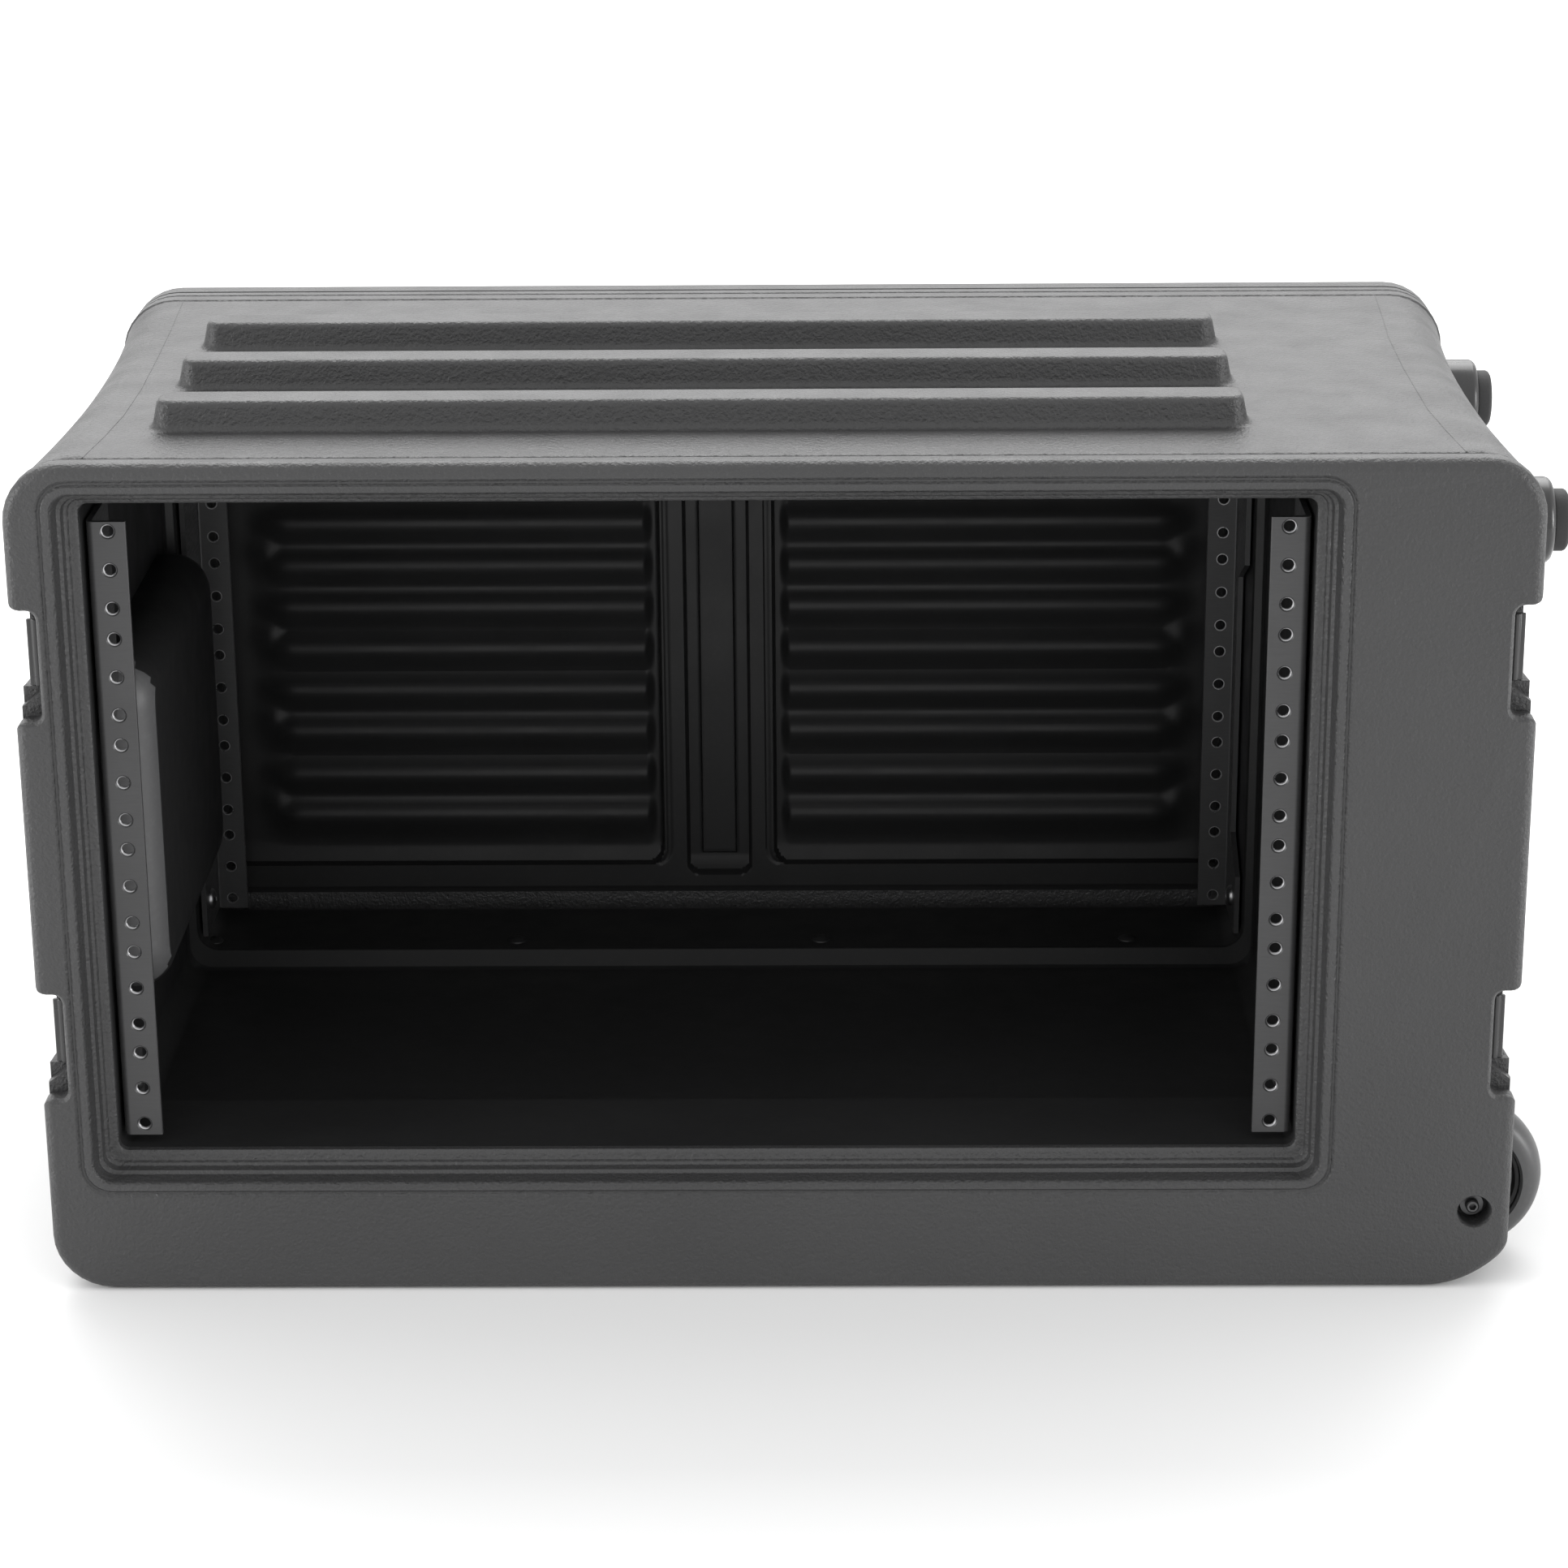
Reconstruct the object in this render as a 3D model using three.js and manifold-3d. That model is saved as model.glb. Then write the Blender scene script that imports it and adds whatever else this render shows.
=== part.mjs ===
// Six-unit moulded equipment rack case with wheels, shown with its front lid off and its rear lid latched.
//
// Units are millimetres, +Z is up and the rack bay opens towards -Y. Every piece is modelled in the bay's
// own frame: x from the middle of the rack bay, y back from the face of the front rails, z up from the
// middle of the hole pattern. The outer group then puts the origin under the middle of the whole case.
import * as THREE from 'three';
import { mergeVertices } from 'three/addons/utils/BufferGeometryUtils.js';
import Module from 'manifold-3d';

const wasm = await Module();
wasm.setup();

// ---- Driving dimensions -------------------------------------------------------------------------

// The 19-inch rack standard
const RACK_UNIT = 44.45;
const RACK_UNITS = 6;
const BAY_HEIGHT = RACK_UNIT * RACK_UNITS;
const HOLE_X = 465.1 / 2;
const HOLE_OFFSETS = [6.35, 22.225, 38.1];
const RAIL_INNER_X = 225.4;
const RAIL_DEPTH = 267;

// Body, outside
const LEFT = -270.5;
const RIGHT = 330.5;
const TOP = 159;
const BOTTOM = -193.5;
const FRONT = -20;
const REAR = RAIL_DEPTH + 20;
const CORNER = 24;
const RIM = 10;
const WAIST_END = 1;
const WAIST_MIDDLE = 7.5;
const RIB = { halfLength: 218.5, width: 22, height: 12, middles: [43.5, 114.25, 185], end: 9 };

// Body, inside
const RING = { x: 251, top: 146.7, bottom: -145, depth: 10.5, corner: 7 };
const LIP = { x: 242.5, top: 140, bottom: -136, back: 46, corner: 3 };
const BAY = { x: 248, top: 148, bottom: -146 };
const REAR_LIP = { front: 221, corner: 4 };
const WALL = 6;

// Latches: keeper and notch heights, measured along z, and depths in from the rim's side
const NOTCH = { tops: [100, -62], height: 46, depth: 11 };
const KEEPER = { offset: 7.6, height: 27.4, plate: 1.5, top: 7, floor: 13.3 };

// Wheels and feet
const WHEEL = { x: 315.5, z: -159, radius: 33.5, width: 24, y: 20, wellRadius: 37.5 };
const AXLE_RADIUS = 4;
const AXLE_SIDES = 16;
const BEARING = { outer: 11, width: 7 };
const FOOT = { y: 31.5, z: 120.7, seat: 325.3, flange: 17.75, cap: 12.75, flangeEnd: 340, end: 346.5 };

// Tow handle, which pulls out of the left side, and the carrying handle in its pocket
const TOW = { z: -168, spread: 73.5, radius: 7, end: 262, grip: 22, recess: 214, wallEnd: 204, inner: 236 };
const POCKET = { front: 43, rear: 218, bottom: -84, top: 56, floor: 241.5, face: 226, skin: 4.5, corner: 18 };
const BAIL = { x: -251, z: 24, reach: 46, rod: 4, eye: 71, bracket: 79, halfGrip: 54 };

const MIDDLE_Y = RAIL_DEPTH / 2;
const LID = { front: REAR + 0.5, rear: REAR + 26, bevel: 8 };
const GAP = 0.3;

// ---- Solids -------------------------------------------------------------------------------------

function solid(geometry) {
  const bare = geometry.clone();
  bare.deleteAttribute('normal');
  bare.deleteAttribute('uv');
  const merged = mergeVertices(bare, 1e-4);
  return new wasm.Manifold(new wasm.Mesh({
    numProp: 3,
    vertProperties: new Float32Array(merged.attributes.position.array),
    triVerts: new Uint32Array(merged.index.array),
  }));
}

function asGeometry(manifold) {
  const mesh = manifold.getMesh();
  const geometry = new THREE.BufferGeometry();
  geometry.setAttribute('position', new THREE.BufferAttribute(new Float32Array(mesh.vertProperties), 3));
  geometry.setIndex(new THREE.BufferAttribute(new Uint32Array(mesh.triVerts), 1));
  geometry.computeVertexNormals();
  return geometry;
}

const join = (solids) => solids.reduce((whole, next) => whole.add(next));
const cut = (whole, tools) => tools.reduce((rest, tool) => rest.subtract(tool), whole);

// Turns the X, Y and Z of a shape's own frame into the axes that its outline is drawn on
const ALONG_Y = new THREE.Matrix4().makeRotationX(Math.PI / 2);
const ALONG_X = new THREE.Matrix4().makeBasis(
  new THREE.Vector3(0, 1, 0), new THREE.Vector3(0, 0, 1), new THREE.Vector3(1, 0, 0));

function extrude(shape, depth, segments = 5, bevel = 0, bevelSegments = 2) {
  return new THREE.ExtrudeGeometry(shape, {
    depth,
    curveSegments: segments,
    bevelEnabled: bevel > 0,
    bevelThickness: bevel,
    bevelSize: bevel,
    bevelOffset: -bevel,
    bevelSegments,
  });
}

// An outline drawn in X and Z, filled from y0 to y1
function slabY(shape, y0, y1, segments = 5) {
  return solid(extrude(shape, y1 - y0, segments).applyMatrix4(ALONG_Y).translate(0, y1, 0));
}

// An outline drawn in X and Y, filled from z0 to z1
function slabZ(shape, z0, z1, segments = 5) {
  return solid(extrude(shape, z1 - z0, segments).translate(0, 0, z0));
}

// An outline drawn in Y and Z, filled from x0 to x1
function slabX(shape, x0, x1, segments = 5) {
  return solid(extrude(shape, x1 - x0, segments).applyMatrix4(ALONG_X).translate(x0, 0, 0));
}

function block([x0, y0, z0], [x1, y1, z1]) {
  const box = new THREE.BoxGeometry(x1 - x0, y1 - y0, z1 - z0);
  return solid(box.translate((x0 + x1) / 2, (y0 + y1) / 2, (z0 + z1) / 2));
}

function polygon(points) {
  return new THREE.Shape(points.map(([a, b]) => new THREE.Vector2(a, b)));
}

function roundedRectangle(a0, b0, a1, b1, radius) {
  const shape = new THREE.Shape();
  shape.moveTo(a0 + radius, b0);
  shape.lineTo(a1 - radius, b0);
  shape.absarc(a1 - radius, b0 + radius, radius, -Math.PI / 2, 0);
  shape.lineTo(a1, b1 - radius);
  shape.absarc(a1 - radius, b1 - radius, radius, 0, Math.PI / 2);
  shape.lineTo(a0 + radius, b1);
  shape.absarc(a0 + radius, b1 - radius, radius, Math.PI / 2, Math.PI);
  shape.lineTo(a0, b0 + radius);
  shape.absarc(a0 + radius, b0 + radius, radius, Math.PI, Math.PI * 1.5);
  return shape;
}

// A solid of revolution: the profile lists [radius, distance along the axis] from axis to axis, or closed
function turned(profile, sides) {
  return new THREE.LatheGeometry(profile.map(([r, d]) => new THREE.Vector2(r, d)), sides);
}

const turnedY = (profile, x, z, sides = 24) => solid(turned(profile, sides).translate(x, 0, z));

function turnedX(profile, y, z, sides = 24) {
  return solid(turned(profile, sides).rotateZ(-Math.PI / 2).translate(0, y, z));
}

function turnedZ(profile, x, y, sides = 24) {
  return solid(turned(profile, sides).rotateX(Math.PI / 2).translate(x, y, 0));
}

const rod = (radius, start, end) => [[0, start], [radius, start], [radius, end], [0, end]];
const ring = (inner, outer, start, end) => (
  [[inner, start], [outer, start], [outer, end], [inner, end], [inner, start]]);

// Front and rear pieces are mirror images about the middle of the case's depth
const mirrorY = (manifold) => manifold.mirror([0, 1, 0]).translate([0, RAIL_DEPTH, 0]);
const mirrorX = (manifold) => manifold.mirror([1, 0, 0]);

// A piece drawn on the left side, flush with the left rim, moved to the side that is asked for
function onSide(manifold, side) {
  return side === 'left' ? manifold : mirrorX(manifold).translate([LEFT + RIGHT, 0, 0]);
}

// ---- Materials ----------------------------------------------------------------------------------

const plastic = (color, roughness) => new THREE.MeshStandardMaterial({ color, roughness, metalness: 0 });
const metal = (color, roughness) => new THREE.MeshStandardMaterial({ color, roughness, metalness: 0.9 });
const MATERIALS = {
  shell: plastic(0x3b3b3d, 0.6),
  moulding: plastic(0x1b1b1c, 0.4),
  rubber: plastic(0x151516, 0.75),
  tyre: plastic(0x2d2d2e, 0.65),
  railSteel: metal(0x232325, 0.45),
  zinc: metal(0xb8bbc0, 0.3),
  aluminium: metal(0x9a9da2, 0.35),
};

const bay = new THREE.Group();

function addPiece(name, manifold, material) {
  const mesh = new THREE.Mesh(asGeometry(manifold), material);
  mesh.name = name;
  bay.add(mesh);
}

// ---- Body shell ---------------------------------------------------------------------------------

// The case's outline from the front, with the corner by the wheels cut off so that they can roll
function caseOutline(inset = 0) {
  const [x0, x1] = [LEFT + inset, RIGHT - inset];
  const [z0, z1] = [BOTTOM + inset, TOP - inset];
  const r = CORNER - inset;
  const chamfer = 26 - inset / 2;
  const shape = new THREE.Shape();
  shape.moveTo(x0 + r, z0);
  shape.lineTo(x1 - chamfer, z0);
  shape.quadraticCurveTo(x1 - chamfer * 0.62, z0, x1 - chamfer * 0.3, z0 + chamfer * 0.3);
  shape.quadraticCurveTo(x1, z0 + chamfer * 0.62, x1, z0 + chamfer);
  shape.lineTo(x1, z1 - r);
  shape.absarc(x1 - r, z1 - r, r, 0, Math.PI / 2);
  shape.lineTo(x0 + r, z1);
  shape.absarc(x0 + r, z1 - r, r, Math.PI / 2, Math.PI);
  shape.lineTo(x0, z0 + r);
  shape.absarc(x0 + r, z0 + r, r, Math.PI, Math.PI * 1.5);
  return shape;
}

// The plan between the two rims: both sides are drawn in, most of all in the middle
function waistPlan() {
  const [y0, y1] = [FRONT + RIM - 1, REAR - RIM + 1];
  const pull = 2 * WAIST_MIDDLE - WAIST_END;
  const shape = new THREE.Shape();
  shape.moveTo(LEFT + WAIST_END, y0);
  shape.lineTo(RIGHT - WAIST_END, y0);
  shape.quadraticCurveTo(RIGHT - pull, MIDDLE_Y, RIGHT - WAIST_END, y1);
  shape.lineTo(LEFT + WAIST_END, y1);
  shape.quadraticCurveTo(LEFT + pull, MIDDLE_Y, LEFT + WAIST_END, y0);
  return shape;
}

// A plate with the case's outline, from y0 to y1, whose front edge is rounded over
function roundedPlate(y0, y1, bevel) {
  const depth = y1 - y0;
  const plate = solid(extrude(caseOutline(), depth, 5, bevel).applyMatrix4(ALONG_Y));
  const half = block([-400, y0, -300], [400, y1, 300]);
  return plate.translate([0, y1 + bevel, 0]).intersect(half);
}

function outerBody() {
  const waist = slabY(caseOutline(), FRONT + RIM - 1, REAR - RIM + 1)
    .intersect(slabZ(waistPlan(), BOTTOM - 1, TOP + 1, 6));
  const frontRim = roundedPlate(FRONT, FRONT + RIM, 4);
  const rearRim = slabY(caseOutline(), REAR - RIM, REAR);
  return join([waist, frontRim, rearRim, ...topRibs()]);
}

function topRibs() {
  const { halfLength, width, height, end, middles } = RIB;
  const bevel = 2.5;
  return middles.map((y) => {
    const shape = roundedRectangle(-halfLength, y - width / 2, halfLength, y + width / 2, end);
    const raised = extrude(shape, height - bevel, 3, bevel, 1);
    return solid(raised.translate(0, 0, TOP)).intersect(
      block([-300, y - 20, TOP - 1], [300, y + 20, TOP + height]));
  });
}

const frame = (edge, y0, y1, corner) => slabY(
  roundedRectangle(-edge.x, edge.bottom, edge.x, edge.top, corner), y0, y1, 3);

// The hollow that holds the equipment, from the stepped front ring to the rear one
function bayHollow() {
  const frontRing = frame(RING, FRONT - 1, FRONT + RING.depth, RING.corner);
  const frontLip = frame(LIP, FRONT + RING.depth - 1, LIP.back, LIP.corner);
  const room = frame(BAY, LIP.back, REAR_LIP.front, 6);
  const rearLip = frame(LIP, REAR_LIP.front - 1, REAR - RING.depth + 1, REAR_LIP.corner);
  const rearRing = frame(RING, REAR - RING.depth, REAR + 1, RING.corner);
  return join([frontRing, frontLip, room, rearLip, rearRing]);
}

// The carrying handle's pocket stands into the bay as a rounded bulge on the left wall
function pocketOutline(grow) {
  return roundedRectangle(POCKET.front - grow, POCKET.bottom - grow,
    POCKET.rear + grow, POCKET.top + grow, POCKET.corner + grow);
}

const pocketBulge = () => slabX(pocketOutline(POCKET.skin), -BAY.x - 5, -POCKET.face);
const pocketHollow = () => slabX(pocketOutline(0), LEFT - 5, -POCKET.floor);

// The hollow of the double wall: the tow handle's channel below the bay, and the space beside it
function marginHollow() {
  const [y0, y1] = [4, RAIL_DEPTH - 4];
  const channel = block([-TOW.wallEnd, y0, BOTTOM + WALL], [275, y1, BAY.bottom - WALL]);
  const link = block([260, y0, BOTTOM + WALL], [275, y1, -110]);
  const side = block([BAY.x + WALL, y0, -116], [RIGHT - WAIST_MIDDLE - WALL, y1, TOP - WALL]);
  const corner = block([270, 52, BOTTOM + WALL], [RIGHT - WAIST_MIDDLE - WALL, RAIL_DEPTH - 52, -110]);
  return join([channel, link, side, corner]);
}

// The front wheel's well, with the axle's access hole and its nut's pocket
function wheelWell() {
  const { x, z, y, width, wellRadius } = WHEEL;
  const [y0, y1] = [y - width / 2 - 2, y + width / 2 + 2];
  const well = turnedY(rod(wellRadius, y0, y1), x, z, 24);
  const outward = block([x, y0, z - wellRadius], [RIGHT + 20, y1, z + wellRadius]);
  const access = turnedY(rod(6.25, FRONT - 1, FRONT + 11), x, z, 12);
  const bore = turnedY(rod(AXLE_RADIUS + GAP, FRONT, y1 + 20), x, z, AXLE_SIDES);
  const nutSeat = turnedY(rod(8, y1 + 6, y1 + 20), x, z, 12);
  return join([well, outward, access, bore, nutSeat]);
}

// A latch notch on the left of the front rim, and the pocket behind it that holds the keeper
function latchNotch(top) {
  const bottom = top - NOTCH.height;
  const floor = LEFT + NOTCH.depth;
  const through = slabY(roundedRectangle(LEFT - 10, bottom, floor, top, 4), FRONT - 1, FRONT + RIM, 2);
  const keeperTop = top - KEEPER.offset;
  const keeperBottom = keeperTop - KEEPER.height;
  const slope = polygon([[LEFT - 1, bottom + 2], [LEFT - 1, top], [floor, top], [floor, keeperBottom]]);
  const slot = slabY(slope, FRONT + RIM - 1, FRONT + RIM + 5.5);
  const seat = block([LEFT - 1, FRONT + RIM, keeperBottom - GAP], [LEFT + KEEPER.floor, 11, keeperTop + GAP]);
  const wedge = slabY(slope, FRONT + RIM + 5, 11).intersect(
    block([LEFT - 1, FRONT, keeperTop - 20], [floor, 11, top]));
  return join([through, slot, seat, wedge]);
}

function allNotches() {
  return ['left', 'right'].flatMap((side) => NOTCH.tops.flatMap((top) => {
    const notch = onSide(latchNotch(top), side);
    return [notch, mirrorY(notch)];
  }));
}

function towRecess() {
  const [y0, y1] = [MIDDLE_Y - 96, MIDDLE_Y + 96];
  const recess = block([LEFT - 5, y0, -186], [-TOW.recess, y1, -151]);
  const bores = [-1, 1].map((end) => turnedX(
    rod(TOW.radius + 1.8, -TOW.recess - 1, -TOW.wallEnd + 1), MIDDLE_Y + end * TOW.spread, TOW.z, 16));
  return join([recess, ...bores]);
}

function footSeat(y) {
  return turnedX(rod(FOOT.flange + GAP, FOOT.seat - GAP, RIGHT + 5), y, FOOT.z, 18);
}

function railBoltHole(side, y, z) {
  const hole = turnedX(rod(2.8, -LIP.x - 9, -LIP.x + 1), y, z, 8);
  return side === 'left' ? hole : mirrorX(hole);
}

function bodyShell() {
  const hollow = bayHollow().subtract(pocketBulge());
  const well = wheelWell();
  const feet = [FOOT.y, RAIL_DEPTH - FOOT.y].map(footSeat);
  const boltHoles = railBolts().map(({ side, y, z }) => railBoltHole(side, y, z));
  const gasketGroove = gasket(GAP);
  return cut(outerBody(), [hollow, pocketHollow(), marginHollow(), well, mirrorY(well), ...allNotches(),
    towRecess(), ...feet, ...boltHoles, gasketGroove, ...bracketSeats()]);
}

// ---- Rear lid -----------------------------------------------------------------------------------

function rearLid() {
  const plate = roundedPlate(0, LID.rear - LID.front, LID.bevel)
    .mirror([0, 1, 0]).translate([0, LID.rear, 0]);
  const inner = frame({ x: 236, top: 134, bottom: -131 }, LID.front - 1, LID.front + 8, 8);
  const spine = block([-30, LID.front + 4, -118], [26, LID.front + 9, 122]);
  const notches = ['left', 'right'].flatMap((side) => NOTCH.tops.map((top) => {
    const [z0, z1] = [top - NOTCH.height, top];
    const opening = roundedRectangle(LEFT - 10, z0, LEFT + NOTCH.depth, z1, 4);
    return onSide(slabY(opening, LID.front - 1, LID.front + 21, 2), side);
  }));
  return cut(plate, [inner.subtract(spine), ...notches]);
}

// The soft seal between the rim and the lid lies in a groove in the rim's face
function gasket(grow) {
  const [inner, outer] = [253.5 - grow, 257 + grow];
  const [y0, y1] = [REAR - 2.8 - grow, REAR + (grow > 0 ? 1 : 0.2)];
  const [top, bottom] = [RING.top + 2.5, RING.bottom - 2.5];
  const outside = roundedRectangle(-outer, bottom - 3.5 - grow, outer, top + 3.5 + grow, 10);
  const inside = roundedRectangle(-inner, bottom + grow, inner, top - grow, 7);
  return slabY(outside, y0, y1, 3).subtract(slabY(inside, y0 - 1, y1 + 1, 3));
}

// ---- Rack rails ---------------------------------------------------------------------------------

const RAIL_THICKNESS = 2.3;
const EAR = { depth: 40, shallow: 14, upperFrom: 46, lowerTo: -91 };

// Front left rail: a flange with tapped holes, and a leg with a deep ear at each end
function leftRail() {
  const half = BAY_HEIGHT / 2;
  const outer = -RAIL_INNER_X - 15.9;
  const flange = block([outer, 0, -half], [-RAIL_INNER_X, RAIL_THICKNESS, half]);
  const step = EAR.depth - EAR.shallow;
  const leg = slabX(polygon([
    [0, -half], [EAR.depth, -half], [EAR.depth, EAR.lowerTo - step / 2], [EAR.shallow, EAR.lowerTo],
    [EAR.shallow, EAR.upperFrom - step / 2], [EAR.depth, EAR.upperFrom], [EAR.depth, half], [0, half],
  ]), outer, outer + RAIL_THICKNESS);
  const holes = [];
  for (let unit = 0; unit < RACK_UNITS; unit += 1) {
    for (const offset of HOLE_OFFSETS) {
      const z = half - unit * RACK_UNIT - offset;
      holes.push(turnedY(rod(2.8, -1, RAIL_THICKNESS + 1), -HOLE_X, z, 6));
    }
  }
  const boltHoles = BOLT_HEIGHTS.map((z) => turnedX(rod(3, outer - 1, outer + 4), BOLT_Y, z, 8));
  return cut(flange.add(leg), [...holes, ...boltHoles]);
}

// Each rail is held by a button-head bolt through each ear
const BOLT_Y = 27;
const BOLT_HEIGHTS = [112, -118];
const BOLT = { head: 5, headHeight: 2.6, shank: 2.5, length: 9 };

function railBolts() {
  const places = [];
  for (const end of ['front', 'rear']) {
    for (const side of ['left', 'right']) {
      BOLT_HEIGHTS.forEach((z, index) => places.push({
        name: `rail_bolt_${end}_${side}_${index ? 'lower' : 'upper'}`,
        side,
        y: end === 'front' ? BOLT_Y : RAIL_DEPTH - BOLT_Y,
        z,
      }));
    }
  }
  return places;
}

function railBolt({ side, y, z }) {
  const seat = -RAIL_INNER_X - 15.9 + RAIL_THICKNESS + 0.05;
  const { head, headHeight, shank, length } = BOLT;
  const bolt = turnedX([
    [0, seat - length], [shank, seat - length], [shank, seat], [head, seat], [head * 0.92, seat + 1.2],
    [head * 0.6, seat + headHeight], [0, seat + headHeight],
  ], y, z, 8);
  return side === 'left' ? bolt : mirrorX(bolt);
}

function addRails() {
  const rail = leftRail();
  addPiece('rack_rail_front_left', rail, MATERIALS.railSteel);
  addPiece('rack_rail_front_right', mirrorX(rail), MATERIALS.railSteel);
  addPiece('rack_rail_rear_left', mirrorY(rail), MATERIALS.railSteel);
  addPiece('rack_rail_rear_right', mirrorX(mirrorY(rail)), MATERIALS.railSteel);
  railBolts().forEach((place) => addPiece(place.name, railBolt(place), MATERIALS.zinc));
}

// ---- Keepers and latches ------------------------------------------------------------------------

// Keeper on the left of the front rim: a plate on the seat's floor, with an upright lip for the hook
function keeper(top) {
  const z1 = top - KEEPER.offset;
  const z0 = z1 - KEEPER.height;
  const floor = LEFT + KEEPER.floor - GAP;
  const y0 = FRONT + RIM + 5.5;
  const profile = polygon([
    [floor, y0], [floor, 10.5], [floor - KEEPER.plate, 10.5], [floor - KEEPER.plate, y0 + 2],
    [LEFT + KEEPER.top + 0.6, y0 + 2], [LEFT + KEEPER.top, y0 + 1.4], [LEFT + KEEPER.top, y0],
  ]);
  return slabZ(profile, z0, z1);
}

// Latch pivots on the left of the rear lid: depth in from the side, and distance behind the rim's face
const LEVER_PIVOT = { x: LEFT + 5.5, y: REAR + 8 };
const HOOK_PIVOT = { x: LEFT + 6.2, y: REAR + 14 };
const BASE_HALF = 20;

function latchBase(middle) {
  const floor = LEFT + NOTCH.depth - GAP;
  const plate = block([floor - 2, REAR + 1, middle - BASE_HALF], [floor, REAR + 20.5, middle + BASE_HALF]);
  const cheeks = [-1, 1].map((end) => {
    const [z0, z1] = [middle + end * (BASE_HALF - 3), middle + end * BASE_HALF].sort((a, b) => a - b);
    const cheek = block([LEVER_PIVOT.x - 2, REAR + 5, z0], [floor - 1, REAR + 11, z1]);
    const start = middle + end * (BASE_HALF - 6);
    const pin = turnedZ(rod(1.2, Math.min(start, z1 - 1), Math.max(start, z0 + 1)),
      LEVER_PIVOT.x, LEVER_PIVOT.y, 8);
    return cheek.add(pin);
  });
  return join([plate, ...cheeks]);
}

function latchLever(middle) {
  const half = BASE_HALF - 3 - GAP;
  const arms = [-1, 1].map((end) => {
    const [z0, z1] = [middle + end * (half - 2.5), middle + end * half].sort((a, b) => a - b);
    const bar = slabZ(polygon([
      [LEVER_PIVOT.x + 2.2, LEVER_PIVOT.y], [LEVER_PIVOT.x + 2.2, REAR + 18], [LEFT + 5.5, REAR + 20],
      [LEFT + 1, REAR + 20], [LEFT + 1, LEVER_PIVOT.y + 2], [LEFT + 3, LEVER_PIVOT.y - 1.2],
    ]), z0, z1);
    const eye = turnedZ(rod(2.5, z0, z1), LEVER_PIVOT.x, LEVER_PIVOT.y, 10);
    return bar.add(eye);
  });
  const handle = block([LEFT + 0.8, REAR + 17.3, middle - half], [LEFT + 5.5, REAR + 20.4, middle + half]);
  const whole = join([...arms, handle]);
  return cut(whole, [[LEVER_PIVOT, 1.5], [HOOK_PIVOT, 1.6]].map(([pivot, radius]) => turnedZ(
    rod(radius, middle - BASE_HALF, middle + BASE_HALF), pivot.x, pivot.y, 8)));
}

function latchHook(middle) {
  const half = 12;
  const lipInside = RAIL_DEPTH - (FRONT + RIM + 7.5);
  const link = slabZ(polygon([
    [LEFT + 6.6, HOOK_PIVOT.y], [LEFT + 6.6, lipInside - GAP], [LEFT + 10.2, lipInside - GAP],
    [LEFT + 10.2, lipInside - GAP - 2], [LEFT + 5.2, lipInside - GAP - 2.6],
    [LEFT + 4.6, lipInside - 1], [LEFT + 4.6, HOOK_PIVOT.y],
  ]), middle - half, middle + half);
  const eye = turnedZ(rod(2, middle - half, middle + half), HOOK_PIVOT.x, HOOK_PIVOT.y, 8);
  const pins = turnedZ(rod(1.3, middle - 16.4, middle + 16.4), HOOK_PIVOT.x, HOOK_PIVOT.y, 8);
  return join([link, eye, pins]);
}

function addLatches() {
  for (const side of ['left', 'right']) {
    NOTCH.tops.forEach((top, index) => {
      const place = `${side}_${index ? 'lower' : 'upper'}`;
      const middle = top - NOTCH.height / 2;
      const strike = onSide(keeper(top), side);
      addPiece(`keeper_front_${place}`, strike, MATERIALS.moulding);
      addPiece(`keeper_rear_${place}`, mirrorY(strike), MATERIALS.moulding);
      addPiece(`latch_base_${place}`, onSide(latchBase(middle), side), MATERIALS.moulding);
      addPiece(`latch_lever_${place}`, onSide(latchLever(middle), side), MATERIALS.moulding);
      addPiece(`latch_hook_${place}`, onSide(latchHook(middle), side), MATERIALS.zinc);
    });
  }
}

// ---- Wheels and feet ----------------------------------------------------------------------------

function wheelPieces() {
  const { x, z, y, width, radius } = WHEEL;
  const [y0, y1] = [y - width / 2, y + width / 2];
  const bore = 23;
  const tyre = turnedY([
    [bore + GAP, y0 + 1], [radius - 7, y0], [radius - 2.4, y0 + 3.5], [radius, y],
    [radius - 2.4, y1 - 3.5], [radius - 7, y1], [bore + GAP, y1 - 1], [bore + GAP, y0 + 1],
  ], x, z, 2 * AXLE_SIDES);
  const seat = BEARING.outer + 0.1;
  const [h0, h1] = [y0 + 2, y1 - 2];
  const hub = turnedY([
    [seat, h0], [14, h0], [16, h0 + 3], [bore, h0 + 1], [bore, h1 - 1],
    [16, h1 - 3], [14, h1], [seat, h1], [seat, h1 - BEARING.width],
    [seat - 2.5, h1 - BEARING.width], [seat - 2.5, h0 + BEARING.width], [seat, h0 + BEARING.width], [seat, h0],
  ], x, z, AXLE_SIDES);
  const race = (start) => ring(AXLE_RADIUS + 0.12, BEARING.outer, start, start + BEARING.width - 0.1);
  const bearing = (start) => turnedY(race(start), x, z, AXLE_SIDES);
  const bolt = turnedY([
    [0, -15.5], [2.8, -15.5], [2.8, -12.5], [5.2, -12.5], [5.2, -9.1], [AXLE_RADIUS, -9.1],
    [AXLE_RADIUS, 51], [0, 51],
  ], x, z, AXLE_SIDES);
  const nut = turnedY(ring(AXLE_RADIUS + 0.1, 7.5, 40.3, 47), x, z, AXLE_SIDES);
  return {
    tyre, hub, bearing_outer: bearing(h0), bearing_inner: bearing(h1 - BEARING.width + 0.1), axle_bolt: bolt,
    axle_nut: nut,
  };
}

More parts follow.
